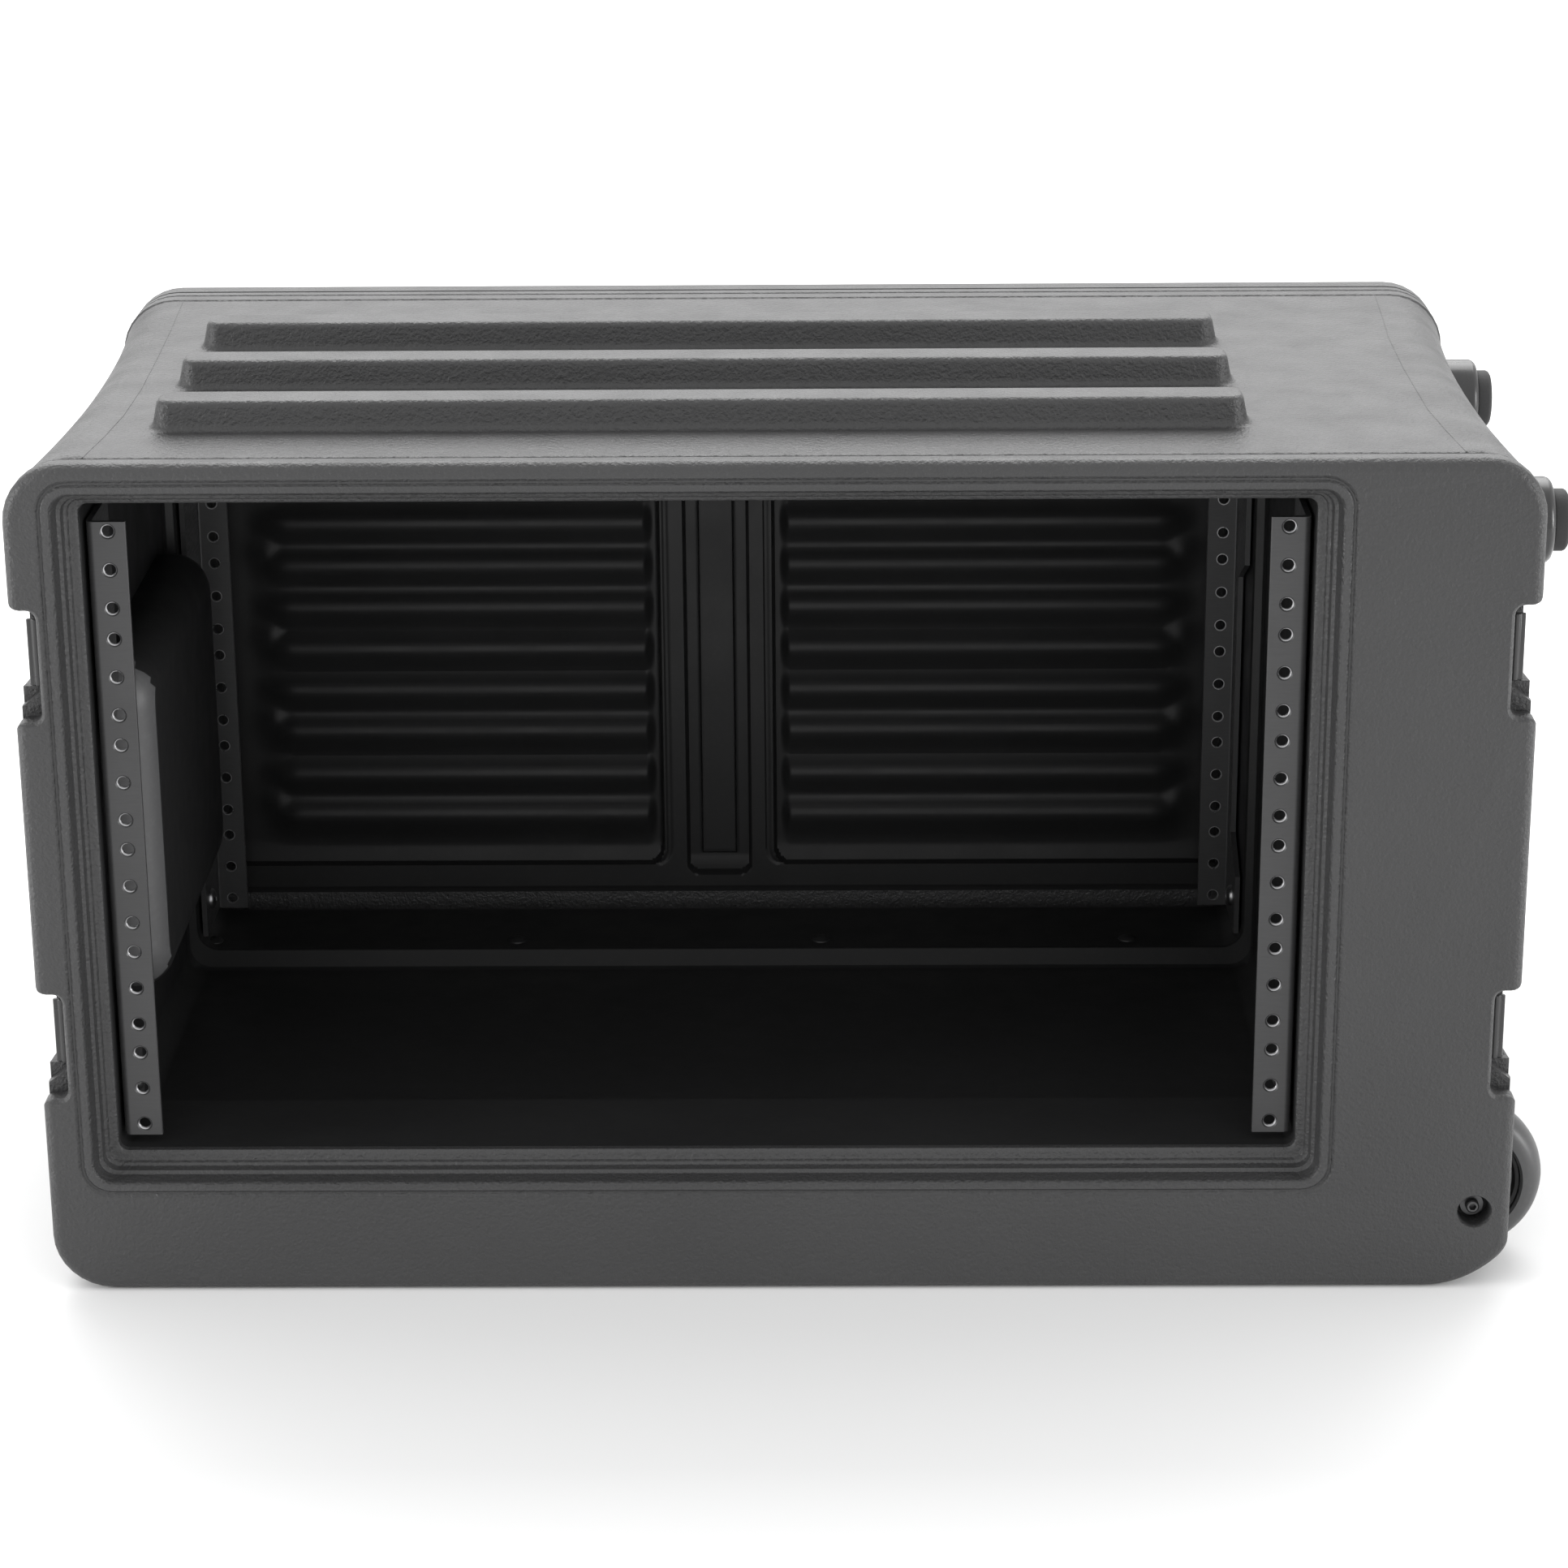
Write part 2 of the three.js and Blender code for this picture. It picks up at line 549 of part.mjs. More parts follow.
const WHEEL_MATERIALS = {
  tyre: MATERIALS.tyre, hub: MATERIALS.moulding, bearing_outer: MATERIALS.zinc, bearing_inner: MATERIALS.zinc,
  axle_bolt: MATERIALS.zinc, axle_nut: MATERIALS.zinc,
};

function addWheels() {
  for (const [part, manifold] of Object.entries(wheelPieces())) {
    addPiece(`wheel_front_${part}`, manifold, WHEEL_MATERIALS[part]);
    addPiece(`wheel_rear_${part}`, mirrorY(manifold), WHEEL_MATERIALS[part]);
  }
}

function addFeet() {
  const { seat, flange, flangeEnd, cap, end, y, z } = FOOT;
  for (const [place, middle] of [['front', y], ['rear', RAIL_DEPTH - y]]) {
    const base = turnedX([
      [0, seat], [flange, seat], [flange, flangeEnd - 2], [flange - 2, flangeEnd], [4, flangeEnd],
      [4, flangeEnd - 9], [0, flangeEnd - 9],
    ], middle, z, 18);
    const pad = turnedX([
      [0, flangeEnd - 8], [3.7, flangeEnd - 8], [3.7, flangeEnd + GAP], [cap, flangeEnd + GAP],
      [cap, end - 1], [cap - 1, end], [0, end],
    ], middle, z, 18);
    addPiece(`foot_base_${place}`, base, MATERIALS.moulding);
    addPiece(`foot_cap_${place}`, pad, MATERIALS.rubber);
  }
}

// ---- Handles ------------------------------------------------------------------------------------

const towY = (end) => MIDDLE_Y + end * TOW.spread;

function addTowHandle() {
  const half = 10;
  const gripShape = roundedRectangle(-TOW.end, TOW.z - half, -TOW.end + TOW.grip, TOW.z + half, 6);
  const bar = slabY(gripShape, MIDDLE_Y - 92, MIDDLE_Y + 92, 3);
  const tube = (end) => turnedX(ring(TOW.radius - 1.5, TOW.radius, -TOW.end + 8, TOW.inner), towY(end), TOW.z, 16);
  const socket = (end) => turnedX(rod(TOW.radius + GAP, -TOW.end + 7.5, -TOW.end + TOW.grip + 1),
    towY(end), TOW.z, 16);
  const bush = (end) => turnedX([
    [TOW.radius + 0.2, -TOW.recess - 2], [TOW.radius + 4, -TOW.recess - 2], [TOW.radius + 4, -TOW.recess - GAP],
    [TOW.radius + 1.5, -TOW.recess - GAP], [TOW.radius + 1.5, -TOW.wallEnd], [TOW.radius + 0.2, -TOW.wallEnd],
    [TOW.radius + 0.2, -TOW.recess - 2],
  ], towY(end), TOW.z, 16);
  addPiece('tow_grip', cut(bar, [-1, 1].map(socket)), MATERIALS.moulding);
  for (const [place, end] of [['front', -1], ['rear', 1]]) {
    addPiece(`tow_tube_${place}`, tube(end), MATERIALS.aluminium);
    addPiece(`tow_bush_${place}`, bush(end), MATERIALS.moulding);
  }
}

// Carrying handle: a steel bail that hangs flat in the pocket, with a grip sleeve on its long side
const BAIL_MIDDLE = (POCKET.front + POCKET.rear) / 2;
const BRACKET = { halfY: 3.5, halfZ: 8, out: 14, sunk: 1 };

function bracketSeats() {
  return [-1, 1].map((end) => {
    const y = BAIL_MIDDLE + end * BAIL.bracket;
    const [halfY, halfZ] = [BRACKET.halfY + GAP, BRACKET.halfZ + GAP];
    return block([-POCKET.floor - 1, y - halfY, BAIL.z - halfZ],
      [-POCKET.floor + BRACKET.sunk + GAP, y + halfY, BAIL.z + halfZ]);
  });
}

// The bail's centre line: down from one eye, along the grip and up to the other, with rounded corners
function bailPath() {
  const { x, z, reach, eye } = BAIL;
  const bend = 12;
  const corners = [[-1, 0], [-1, -reach], [1, -reach], [1, 0]];
  const [start, low, far, stop] = corners.map(
    ([end, drop]) => new THREE.Vector3(x, BAIL_MIDDLE + end * eye, z + drop));
  const toward = (from, to) => from.clone().add(to.clone().sub(from).setLength(bend));
  const path = new THREE.CurvePath();
  path.add(new THREE.LineCurve3(start, toward(low, start)));
  path.add(new THREE.QuadraticBezierCurve3(toward(low, start), low, toward(low, far)));
  path.add(new THREE.LineCurve3(toward(low, far), toward(far, low)));
  path.add(new THREE.QuadraticBezierCurve3(toward(far, low), far, toward(far, stop)));
  path.add(new THREE.LineCurve3(toward(far, stop), stop));
  return path;
}

function carryBail() {
  const { x, z, rod: radius, eye } = BAIL;
  const circle = new THREE.Shape().absarc(0, 0, radius, 0, Math.PI * 2);
  const bent = solid(new THREE.ExtrudeGeometry(circle, {
    steps: 20, curveSegments: 4, bevelEnabled: false, extrudePath: bailPath(),
  }));
  const ends = [-1, 1].flatMap((end) => {
    const y = BAIL_MIDDLE + end * eye;
    const tip = BAIL_MIDDLE + end * (BAIL.bracket + BRACKET.halfY);
    return [
      turnedY(rod(radius + 1, y - 3.5, y + 3.5), x, z, 10),
      turnedY(rod(2, Math.min(y, tip), Math.max(y, tip)), x, z, 8),
    ];
  });
  return join([bent, ...ends]);
}

function addCarryHandle() {
  const { x, z, reach, rod: radius, halfGrip } = BAIL;
  addPiece('carry_bail', carryBail(), MATERIALS.zinc);
  const sleeve = ring(radius + GAP, radius + 4, BAIL_MIDDLE - halfGrip, BAIL_MIDDLE + halfGrip);
  addPiece('carry_grip', turnedY(sleeve, x, z - reach, 12), MATERIALS.rubber);
  for (const [place, end] of [['front', -1], ['rear', 1]]) {
    const y = BAIL_MIDDLE + end * BAIL.bracket;
    const { halfY, halfZ, out, sunk } = BRACKET;
    const plate = block([-POCKET.floor - out, y - halfY, z - halfZ], [-POCKET.floor + sunk, y + halfY, z + halfZ]);
    const bore = turnedY(rod(2.25, y - 5, y + 5), x, z, 8);
    addPiece(`carry_bracket_${place}`, plate.subtract(bore), MATERIALS.moulding);
  }
}

// ---- Assembly -----------------------------------------------------------------------------------

addPiece('body_shell', bodyShell(), MATERIALS.shell);
addPiece('rear_lid', rearLid(), MATERIALS.shell);
addPiece('rear_lid_gasket', gasket(0), MATERIALS.rubber);
addRails();
addLatches();
addWheels();
addFeet();
addTowHandle();
addCarryHandle();

// The origin is on the ground, under the middle of the box that holds the whole case
const WHEEL_OUTER_X = WHEEL.x + WHEEL.radius;
bay.position.set(-(LEFT + WHEEL_OUTER_X) / 2, -(FRONT + LID.rear) / 2, -BOTTOM);

const group = new THREE.Group();
group.add(bay);

export default group;
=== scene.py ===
"""Looks for a moulded equipment rack case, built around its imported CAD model.

Shapes are drawn in millimetres in the rack bay's own frame: x from the middle of the bay, y back from the
face of the front rails, z up from the middle of the hole pattern. finish_piece() moves them to the row
frame, in metres.
"""
import math

import bmesh
import bpy
from mathutils import Matrix, Vector


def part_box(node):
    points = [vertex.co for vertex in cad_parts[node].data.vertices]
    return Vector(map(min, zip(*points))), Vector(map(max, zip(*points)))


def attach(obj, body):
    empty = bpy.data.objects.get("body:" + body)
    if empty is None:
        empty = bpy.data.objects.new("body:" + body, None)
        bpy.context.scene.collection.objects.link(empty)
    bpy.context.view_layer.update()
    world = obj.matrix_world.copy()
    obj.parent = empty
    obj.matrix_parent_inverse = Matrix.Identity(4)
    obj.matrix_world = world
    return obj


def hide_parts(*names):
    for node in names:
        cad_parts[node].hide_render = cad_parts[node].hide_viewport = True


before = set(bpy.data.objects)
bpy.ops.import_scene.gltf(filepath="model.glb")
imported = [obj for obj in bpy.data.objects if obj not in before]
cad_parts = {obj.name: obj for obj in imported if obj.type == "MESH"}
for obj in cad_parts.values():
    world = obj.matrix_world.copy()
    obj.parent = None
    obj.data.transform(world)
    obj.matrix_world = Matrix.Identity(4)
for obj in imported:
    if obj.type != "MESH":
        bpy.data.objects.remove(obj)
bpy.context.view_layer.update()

# ---- The bay's frame, from the CAD rails ---------------------------------------------------------

RAIL_LOW, RAIL_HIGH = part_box("rack_rail_front_left")
RIGHT_RAIL_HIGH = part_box("rack_rail_front_right")[1]
ORIGIN = Vector(((RAIL_LOW.x + RIGHT_RAIL_HIGH.x) / 2, RAIL_LOW.y, (RAIL_LOW.z + RAIL_HIGH.z) / 2))
MM = 0.001
TO_ROW = Matrix.Translation(ORIGIN) @ Matrix.Scale(MM, 4)


def bay_box(node):
    """A CAD node's box in the bay's frame, in millimetres."""
    return [(corner - ORIGIN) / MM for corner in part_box(node)]


BODY_LOW, BODY_HIGH = bay_box("body_shell")
LEFT, FRONT, BOTTOM = BODY_LOW
RIGHT, REAR = BODY_HIGH.x, BODY_HIGH.y
RIB_HEIGHT = 12
TOP = BODY_HIGH.z - RIB_HEIGHT
LID_LOW, LID_HIGH = bay_box("rear_lid")
DEPTH = bay_box("rack_rail_rear_left")[1].y
MIDDLE_Y = DEPTH / 2

# ---- Mesh tools ----------------------------------------------------------------------------------


def mesh_object(name, verts, faces):
    mesh = bpy.data.meshes.new(name)
    mesh.from_pydata([tuple(v) for v in verts], [], faces)
    work = bmesh.new()
    work.from_mesh(mesh)
    bmesh.ops.remove_doubles(work, verts=work.verts, dist=1e-4)
    bmesh.ops.recalc_face_normals(work, faces=work.faces)
    work.to_mesh(mesh)
    work.free()
    obj = bpy.data.objects.new(name, mesh)
    bpy.context.scene.collection.objects.link(obj)
    return obj


def loft(loops, name="part", closed=False):
    """A closed body through loops of equally many points, with flat ends, or a ring where closed."""
    count = len(loops[0])
    verts = [p for loop in loops for p in loop]
    faces = []
    spans = len(loops) if closed else len(loops) - 1
    for s in range(spans):
        a, b = s * count, ((s + 1) % len(loops)) * count
        for i in range(count):
            j = (i + 1) % count
            faces.append((a + i, a + j, b + j, b + i))
    if not closed:
        faces.append(tuple(range(count)))
        faces.append(tuple((len(loops) - 1) * count + i for i in range(count)))
    return mesh_object(name, verts, faces)


def arc(cx, cy, r, start, end, steps):
    return [(cx + r * math.cos(math.radians(start + (end - start) * i / steps)),
             cy + r * math.sin(math.radians(start + (end - start) * i / steps))) for i in range(steps + 1)]


def rounded(a0, b0, a1, b1, r, steps=6):
    """The outline of a rounded rectangle, as a list of pairs."""
    return (arc(a1 - r, b0 + r, r, -90, 0, steps) + arc(a1 - r, b1 - r, r, 0, 90, steps)
            + arc(a0 + r, b1 - r, r, 90, 180, steps) + arc(a0 + r, b0 + r, r, 180, 270, steps))


def at_y(pairs, y):
    return [(a, y, b) for a, b in pairs]


def at_x(pairs, x):
    return [(x, a, b) for a, b in pairs]


def at_z(pairs, z):
    return [(a, b, z) for a, b in pairs]


def circle(cx, cy, r, sides):
    return [(cx + r * math.cos(2 * math.pi * i / sides), cy + r * math.sin(2 * math.pi * i / sides))
            for i in range(sides)]


def turned(profile, axis, a, b, sides=64, name="part"):
    """A solid of revolution from a list of (radius, distance along the axis), whose ends are closed."""
    put = {"x": at_x, "y": at_y, "z": at_z}[axis]
    return loft([put(circle(a, b, max(r, 0.02), sides), d) for r, d in profile], name)


def rod(axis, a, b, r, start, stop, sides=32):
    """A straight cylinder along an axis."""
    return turned([(r, start), (r, stop)], axis, a, b, sides)


def ring_of(profile, axis, a, b, sides=64, name="part"):
    """A ring of revolution: the profile is a closed list of (radius, distance)."""
    put = {"x": at_x, "y": at_y, "z": at_z}[axis]
    return loft([put(circle(a, b, r, sides), d) for r, d in profile], name, closed=True)


def block(low, high, r=0.0, steps=3):
    """A box whose upright edges along y are rounded by r."""
    (x0, y0, z0), (x1, y1, z1) = low, high
    outline = rounded(x0, z0, x1, z1, r, steps) if r else [(x0, z0), (x1, z0), (x1, z1), (x0, z1)]
    return loft([at_y(outline, y0), at_y(outline, y1)])


def applied(obj):
    """Replaces obj's mesh with the result of its modifiers."""
    graph = bpy.context.evaluated_depsgraph_get()
    mesh = bpy.data.meshes.new_from_object(obj.evaluated_get(graph))
    obj.modifiers.clear()
    old = obj.data
    obj.data = mesh
    bpy.data.meshes.remove(old)
    return obj


def combine(target, others, operation):
    """Joins others to target (UNION) or cuts them from it (DIFFERENCE), and removes them."""
    for other in others:
        modifier = target.modifiers.new("boolean", "BOOLEAN")
        modifier.operation = operation
        modifier.solver = "MANIFOLD"
        modifier.object = other
        applied(target)
        bpy.data.objects.remove(other)
    return target


def cut(target, *others):
    return combine(target, others, "DIFFERENCE")


def add(target, *others):
    return combine(target, others, "UNION")


def copy_of(obj, matrix=None):
    twin = bpy.data.objects.new(obj.name, obj.data.copy())
    bpy.context.scene.collection.objects.link(twin)
    if matrix is not None:
        twin.data.transform(matrix)
        if matrix.determinant() < 0:
            twin.data.flip_normals()
    return twin


def mirror_y(obj):
    """A copy mirrored about the middle of the case's depth."""
    return copy_of(obj, Matrix.Translation((0, DEPTH, 0)) @ Matrix.Diagonal((1, -1, 1, 1)))


def mirror_x(obj, about=0.0):
    """A copy mirrored about the plane x = about."""
    return copy_of(obj, Matrix.Translation((2 * about, 0, 0)) @ Matrix.Diagonal((-1, 1, 1, 1)))


def mirror_both(obj):
    """A copy turned half round, from the front left to the rear right."""
    return copy_of(obj, Matrix.Translation((0, DEPTH, 0)) @ Matrix.Diagonal((-1, -1, 1, 1)))


SIDE_MIDDLE = (LEFT + RIGHT) / 2


def soften(obj, width, segments=2, angle=32):
    """Rounds every sharp edge."""
    bevel = obj.modifiers.new("bevel", "BEVEL")
    bevel.width = width
    bevel.segments = segments
    bevel.limit_method = "ANGLE"
    bevel.angle_limit = math.radians(angle)
    bevel.use_clamp_overlap = True
    return applied(obj)


def shade(obj, angle=38):
    """Smooth shading, with edges sharper than angle kept."""
    obj.data.shade_smooth()
    obj.data.set_sharp_from_angle(angle=math.radians(angle))
    weighted = obj.modifiers.new("normals", "WEIGHTED_NORMAL")
    weighted.keep_sharp = True
    weighted.weight = 60
    return obj


def finish_piece(obj, name, body, material, nodes, angle=38):
    """Moves a piece drawn in the bay's frame to the row frame and puts it on its body."""
    obj.name = name
    obj.data.name = name
    obj.data.transform(TO_ROW)
    shade(obj, angle)
    obj.data.materials.clear()
    obj.data.materials.append(material)
    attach(obj, body)
    if nodes:
        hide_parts(*nodes)
    return obj


# ---- Materials -----------------------------------------------------------------------------------


class Nodes:
    """A short way to write a node-based material on object coordinates."""

    def __init__(self, name):
        self.material = bpy.data.materials.new(name)
        self.material.use_nodes = True
        self.tree = self.material.node_tree
        self.shader = self.tree.nodes["Principled BSDF"]
        self.coordinates = self.new("ShaderNodeTexCoord").outputs["Object"]

    def new(self, kind, **settings):
        node = self.tree.nodes.new(kind)
        for key, value in settings.items():
            setattr(node, key, value)
        return node

    def link(self, source, target):
        self.tree.links.new(source, target)

    def noise(self, scale, detail=3.0, rough=0.5, stretch=None):
        node = self.new("ShaderNodeTexNoise")
        node.inputs["Scale"].default_value = scale
        node.inputs["Detail"].default_value = detail
        node.inputs["Roughness"].default_value = rough
        self.link(self.stretched(stretch), node.inputs["Vector"])
        return node.outputs["Fac"]

    def cells(self, scale, feature="F1"):
        node = self.new("ShaderNodeTexVoronoi", feature=feature)
        node.inputs["Scale"].default_value = scale
        self.link(self.coordinates, node.inputs["Vector"])
        return node.outputs["Distance"]

    def stretched(self, stretch):
        if stretch is None:
            return self.coordinates
        node = self.new("ShaderNodeMapping")
        node.inputs["Scale"].default_value = stretch
        self.link(self.coordinates, node.inputs["Vector"])
        return node.outputs["Vector"]

    def ramp(self, source, stops):
        node = self.new("ShaderNodeValToRGB")
        elements = node.color_ramp.elements
        while len(elements) < len(stops):
            elements.new(0.5)
        for element, (position, value) in zip(elements, stops):
            element.position = position
            element.color = (*value, 1) if isinstance(value, tuple) else (value, value, value, 1)
        self.link(source, node.inputs["Fac"])
        return node.outputs["Color"]

    def spread(self, source, low, high, start=0.3, stop=0.7):
        node = self.new("ShaderNodeMapRange")
        for key, value in (("From Min", start), ("From Max", stop), ("To Min", low), ("To Max", high)):
            node.inputs[key].default_value = value
        self.link(source, node.inputs["Value"])
        return node.outputs["Result"]

    def mix(self, factor, a, b, blend="MIX"):
        node = self.new("ShaderNodeMix", data_type="RGBA", blend_type=blend)
        for key, value in ((0, factor), (6, a), (7, b)):
            if isinstance(value, bpy.types.NodeSocket):
                self.link(value, node.inputs[key])
            else:
                node.inputs[key].default_value = value
        return node.outputs[2]

    def bump(self, source, strength, distance, under=None):
        node = self.new("ShaderNodeBump")
        node.inputs["Strength"].default_value = strength
        node.inputs["Distance"].default_value = distance
        self.link(source, node.inputs["Height"])
        if under is not None:
            self.link(under, node.inputs["Normal"])
        return node.outputs["Normal"]

    def set(self, **values):
        for key, value in values.items():
            socket = self.shader.inputs[key.replace("_", " ")]
            if isinstance(value, bpy.types.NodeSocket):
                self.link(value, socket)
            else:
                socket.default_value = value
        return self.material


def grey(value, warm=0.0):
    return (value * (1 + warm), value, value * (1 - warm) * 1.02)


def plastic(name, value, rough, grain=0.0, grain_scale=1100, coat=0.0, wear=0.25):
    """Moulded plastic: cloudy colour, pebble texture, and lighter scuffs and edges."""
    n = Nodes(name)
    cloud = n.noise(7, 4)
    colour = n.ramp(cloud, [(0.3, grey(value * 0.9)), (0.7, grey(value * 1.1))])
    speck = n.spread(n.noise(grain_scale * 0.8, 2), 0, 0.35, 0.52, 0.75)
    colour = n.mix(speck, colour, (*grey(value * 1.45), 1))
    edge = n.spread(n.new("ShaderNodeNewGeometry").outputs["Pointiness"], 0, wear, 0.52, 0.6)
    colour = n.mix(edge, colour, (*grey(value * 2.2), 1))
    fine = n.noise(grain_scale, 2, 0.6)
    normal = n.bump(fine, grain, 0.0006) if grain else n.bump(n.noise(300, 2), 0.04, 0.0004)
    if grain:
        normal = n.bump(n.cells(grain_scale * 0.55, "SMOOTH_F1"), grain * 0.6, 0.0006, normal)
    n.set(Base_Color=colour, Normal=normal, Coat_Weight=coat, Coat_Roughness=0.2)
    return n.set(Roughness=n.spread(n.noise(45, 4), rough - 0.06, rough + 0.06))


def metal(name, value, rough, stretch=(1, 1, 1), metallic=1.0, scale=220):
    """Metal or metallic paint with fine marks along one direction."""
    n = Nodes(name)
    marks = n.noise(scale, 5, 0.6, stretch)
    colour = n.ramp(marks, [(0.25, grey(value * 0.85)), (0.75, grey(value * 1.12))])
    dirt = n.spread(n.noise(30, 5), 0, 0.22, 0.45, 0.8)
    colour = n.mix(dirt, colour, (*grey(value * 0.6, 0.03), 1))
    n.set(Base_Color=colour, Metallic=metallic, Normal=n.bump(marks, 0.06, 0.0004))
    return n.set(Roughness=n.spread(marks, rough - 0.08, rough + 0.1))


# The bay's faces get a darker copy of the shell plastic as painted shade, and the end of the bulge in its left
# wall a lighter copy as painted light
SHELL = plastic("shell_plastic", 0.034, 0.42, grain=0.8, grain_scale=900)
# painted shade: a darker copy of the shell plastic, with less sheen, for the faces inside the bay
SHADED_INSIDE = plastic("shell_inside_painted_shade", 0.017, 0.42, grain=0.05, grain_scale=500, wear=0.1)
SHADED_INSIDE.node_tree.nodes["Principled BSDF"].inputs["Specular IOR Level"].default_value = 0.28
# painted light: a lighter copy of the shell plastic for the bulge's end that faces the opening
BULGE_PAINTED_LIGHT = plastic("shell_bulge_painted_light", 0.09, 0.5, grain=0.06, grain_scale=500, wear=0.1)
MOULDING = plastic("moulding_plastic", 0.02, 0.3, coat=0.15, wear=0.15)
RUBBER = plastic("rubber", 0.022, 0.68, grain=0.12, grain_scale=1600, wear=0.1)
TYRE = plastic("tyre_polyurethane", 0.052, 0.42, grain=0.05, grain_scale=700, wear=0.15)
RAIL = metal("rail_steel", 0.06, 0.42, (1, 1, 8), metallic=0.35, scale=160)
AXLE = metal("axle_steel", 0.1, 0.35)
THREAD = metal("rail_thread", 0.45, 0.3, metallic=1.0)
ZINC = metal("zinc_plate", 0.42, 0.32, (6, 1, 1))
ALUMINIUM = metal("anodised_tube", 0.5, 0.3, (0.04, 1, 1), scale=900)

# ---- Body shell ----------------------------------------------------------------------------------

CORNER = 24
# How far the cut-off corner by the wheels reaches along the underside, and up the right side
WHEEL_CHAMFER = (33, 21)
# How far the sides are drawn in next to the rims, and half-way between them
WAIST_END = 1.0
WAIST_MIDDLE = 7.5


def quad(p0, p1, p2, steps):
    """A quadratic curve from p0, which is left out, to p2."""
    points = []
    for i in range(1, steps + 1):
        t = i / steps
        points.append(tuple((1 - t) ** 2 * p0[k] + 2 * t * (1 - t) * p1[k] + t * t * p2[k] for k in (0, 1)))
    return points


def case_outline(inset=0.0, pull=0.0, steps=8):
    """The case's outline from the front, with the corner by the wheels cut off."""
    x0, x1 = LEFT + inset + pull, RIGHT - inset - pull
    z0, z1 = BOTTOM + inset, TOP - inset
    r = CORNER - inset
    along, up = WHEEL_CHAMFER[0] - inset / 2, WHEEL_CHAMFER[1] - inset / 2
    middle = (x1 - along * 0.32, z0 + up * 0.35)
    points = [(x1 - along, z0)]
    points += quad((x1 - along, z0), (x1 - along * 0.64, z0), middle, steps)
    points += quad(middle, (x1, z0 + up * 0.7), (x1, z0 + up), steps)
    points += arc(x1 - r, z1 - r, r, 0, 90, steps)
    points += arc(x0 + r, z1 - r, r, 90, 180, steps)
    points += arc(x0 + r, z0 + r, r, 180, 270, steps)
    return points


def edge_sections(y, r, step, sections=4):
    """(y, inset) pairs that round an edge by r, going into the case in the direction of step."""
    pairs = []
    for i in range(sections + 1):
        a = math.radians(90 * i / sections)
        pairs.append((y + step * r * (1 - math.cos(a)), r * (1 - math.sin(a))))
    return pairs


def waist_pull(y):
    """How far each side is drawn in at depth y, between the rims."""
    t = (y - MIDDLE_Y) / (MIDDLE_Y + 10)
    return WAIST_END + (WAIST_MIDDLE - WAIST_END) * (1 - min(1, t * t))


def outer_body():
    """The body's outside: rounded front rim, step behind it, waist, and the same step before the rear rim."""
    front = [(y, inset, 0) for y, inset in edge_sections(FRONT, 4.5, 1)]
    front += [(FRONT + 9.2, 0, 0), (FRONT + 9.7, 0.4, 0), (FRONT + 10, 1.2, 0.3)]
    groove = [(FRONT + 11.2, 1.2, 0.5), (FRONT + 11.6, 0.4, 0.9), (FRONT + 12.4, 0.05, WAIST_END)]
    waist = [(y, 0, waist_pull(y)) for y in (-2, 10, *range(30, 251, 20), 268)]
    back = [(REAR - y + FRONT, inset, pull) for y, inset, pull in reversed(groove)]
    back += [(REAR - 9.7, 0.4, 0), (REAR - 9.2, 0, 0)]
    back += [(y, inset, 0) for y, inset in reversed(edge_sections(REAR, 1.6, -1, 3))]
    return loft([at_y(case_outline(inset, pull), y) for y, inset, pull in front + groove + waist + back])


RIB_HALF = 218.5
RIB_WIDTH = 22
RIB_MIDDLES = [43.5, 114.25, 185]


def rib(y):
    """A raised rib with a fillet at its foot, drafted sides and a rounded top edge."""
    loops = []
    top_round = [(RIB_HEIGHT - 2.8 + 2.8 * math.sin(a), -1.2 - 2.8 * (1 - math.cos(a)))
                 for a in (math.radians(22.5 * i) for i in range(5))]
    for z, grow in [(-1, 3.6), (0, 3.6), (0.25, 2.2), (0.9, 1.1), (2.1, 0.35), (3.4, 0), *top_round]:
        loops.append(at_z(rounded(-RIB_HALF - grow, y - RIB_WIDTH / 2 - grow, RIB_HALF + grow,
                                  y + RIB_WIDTH / 2 + grow, 8 + grow, 6), TOP + z))
    return loft(loops)


# The bay's end from the rim inwards: (depth from the rim's face, half width, top, bottom, corner radius)
BAY_RING = [
    (-1.2, 252.3, 148.2, -146.3, 9), (0, 251.9, 147.6, -145.9, 8.5), (0.5, 251.3, 147, -145.3, 8),
    (1.6, 250.8, 146.5, -144.8, 7.5), (6.8, 249.8, 145.6, -144, 7), (7.3, 249.3, 145.1, -143.5, 6.8),
    (7.7, 248.4, 144.3, -142.6, 6.4), (10.6, 247.9, 143.8, -142.1, 6), (11.1, 247.5, 143.4, -141.7, 5.8),
    (11.4, 246.6, 142.7, -140.8, 5.4), (12.6, 246, 142.2, -140.2, 5), (12.9, 245.4, 141.8, -139.4, 4.8),
    (13.1, 244.4, 141.3, -138.2, 4.6), (13.4, 243.3, 140.7, -136.9, 4.2), (14.0, 242.7, 140.2, -136.2, 4),
    (16.5, 242.5, 140, -136, 4),
]
# From the back of the front lip to the rear lip: (y, half width, top, bottom, corner radius)
BAY_ROOM = [
    (44.8, 242.5, 140, -136, 4), (46.2, 243.2, 140.6, -136.7, 4.4), (47, 246.5, 146, -144.5, 8),
    (50, 248, 148, -146, 10), (217, 248, 148, -146, 10), (220, 246.5, 146, -144.5, 10),
    (221, 243.2, 140.6, -136.7, 10), (222.4, 242.5, 140, -136, 9),
]
REAR_CORNER = 8


def bay_section(y, x, top, bottom, corner):
    return at_y(rounded(-x, bottom, x, top, corner, 6), y)


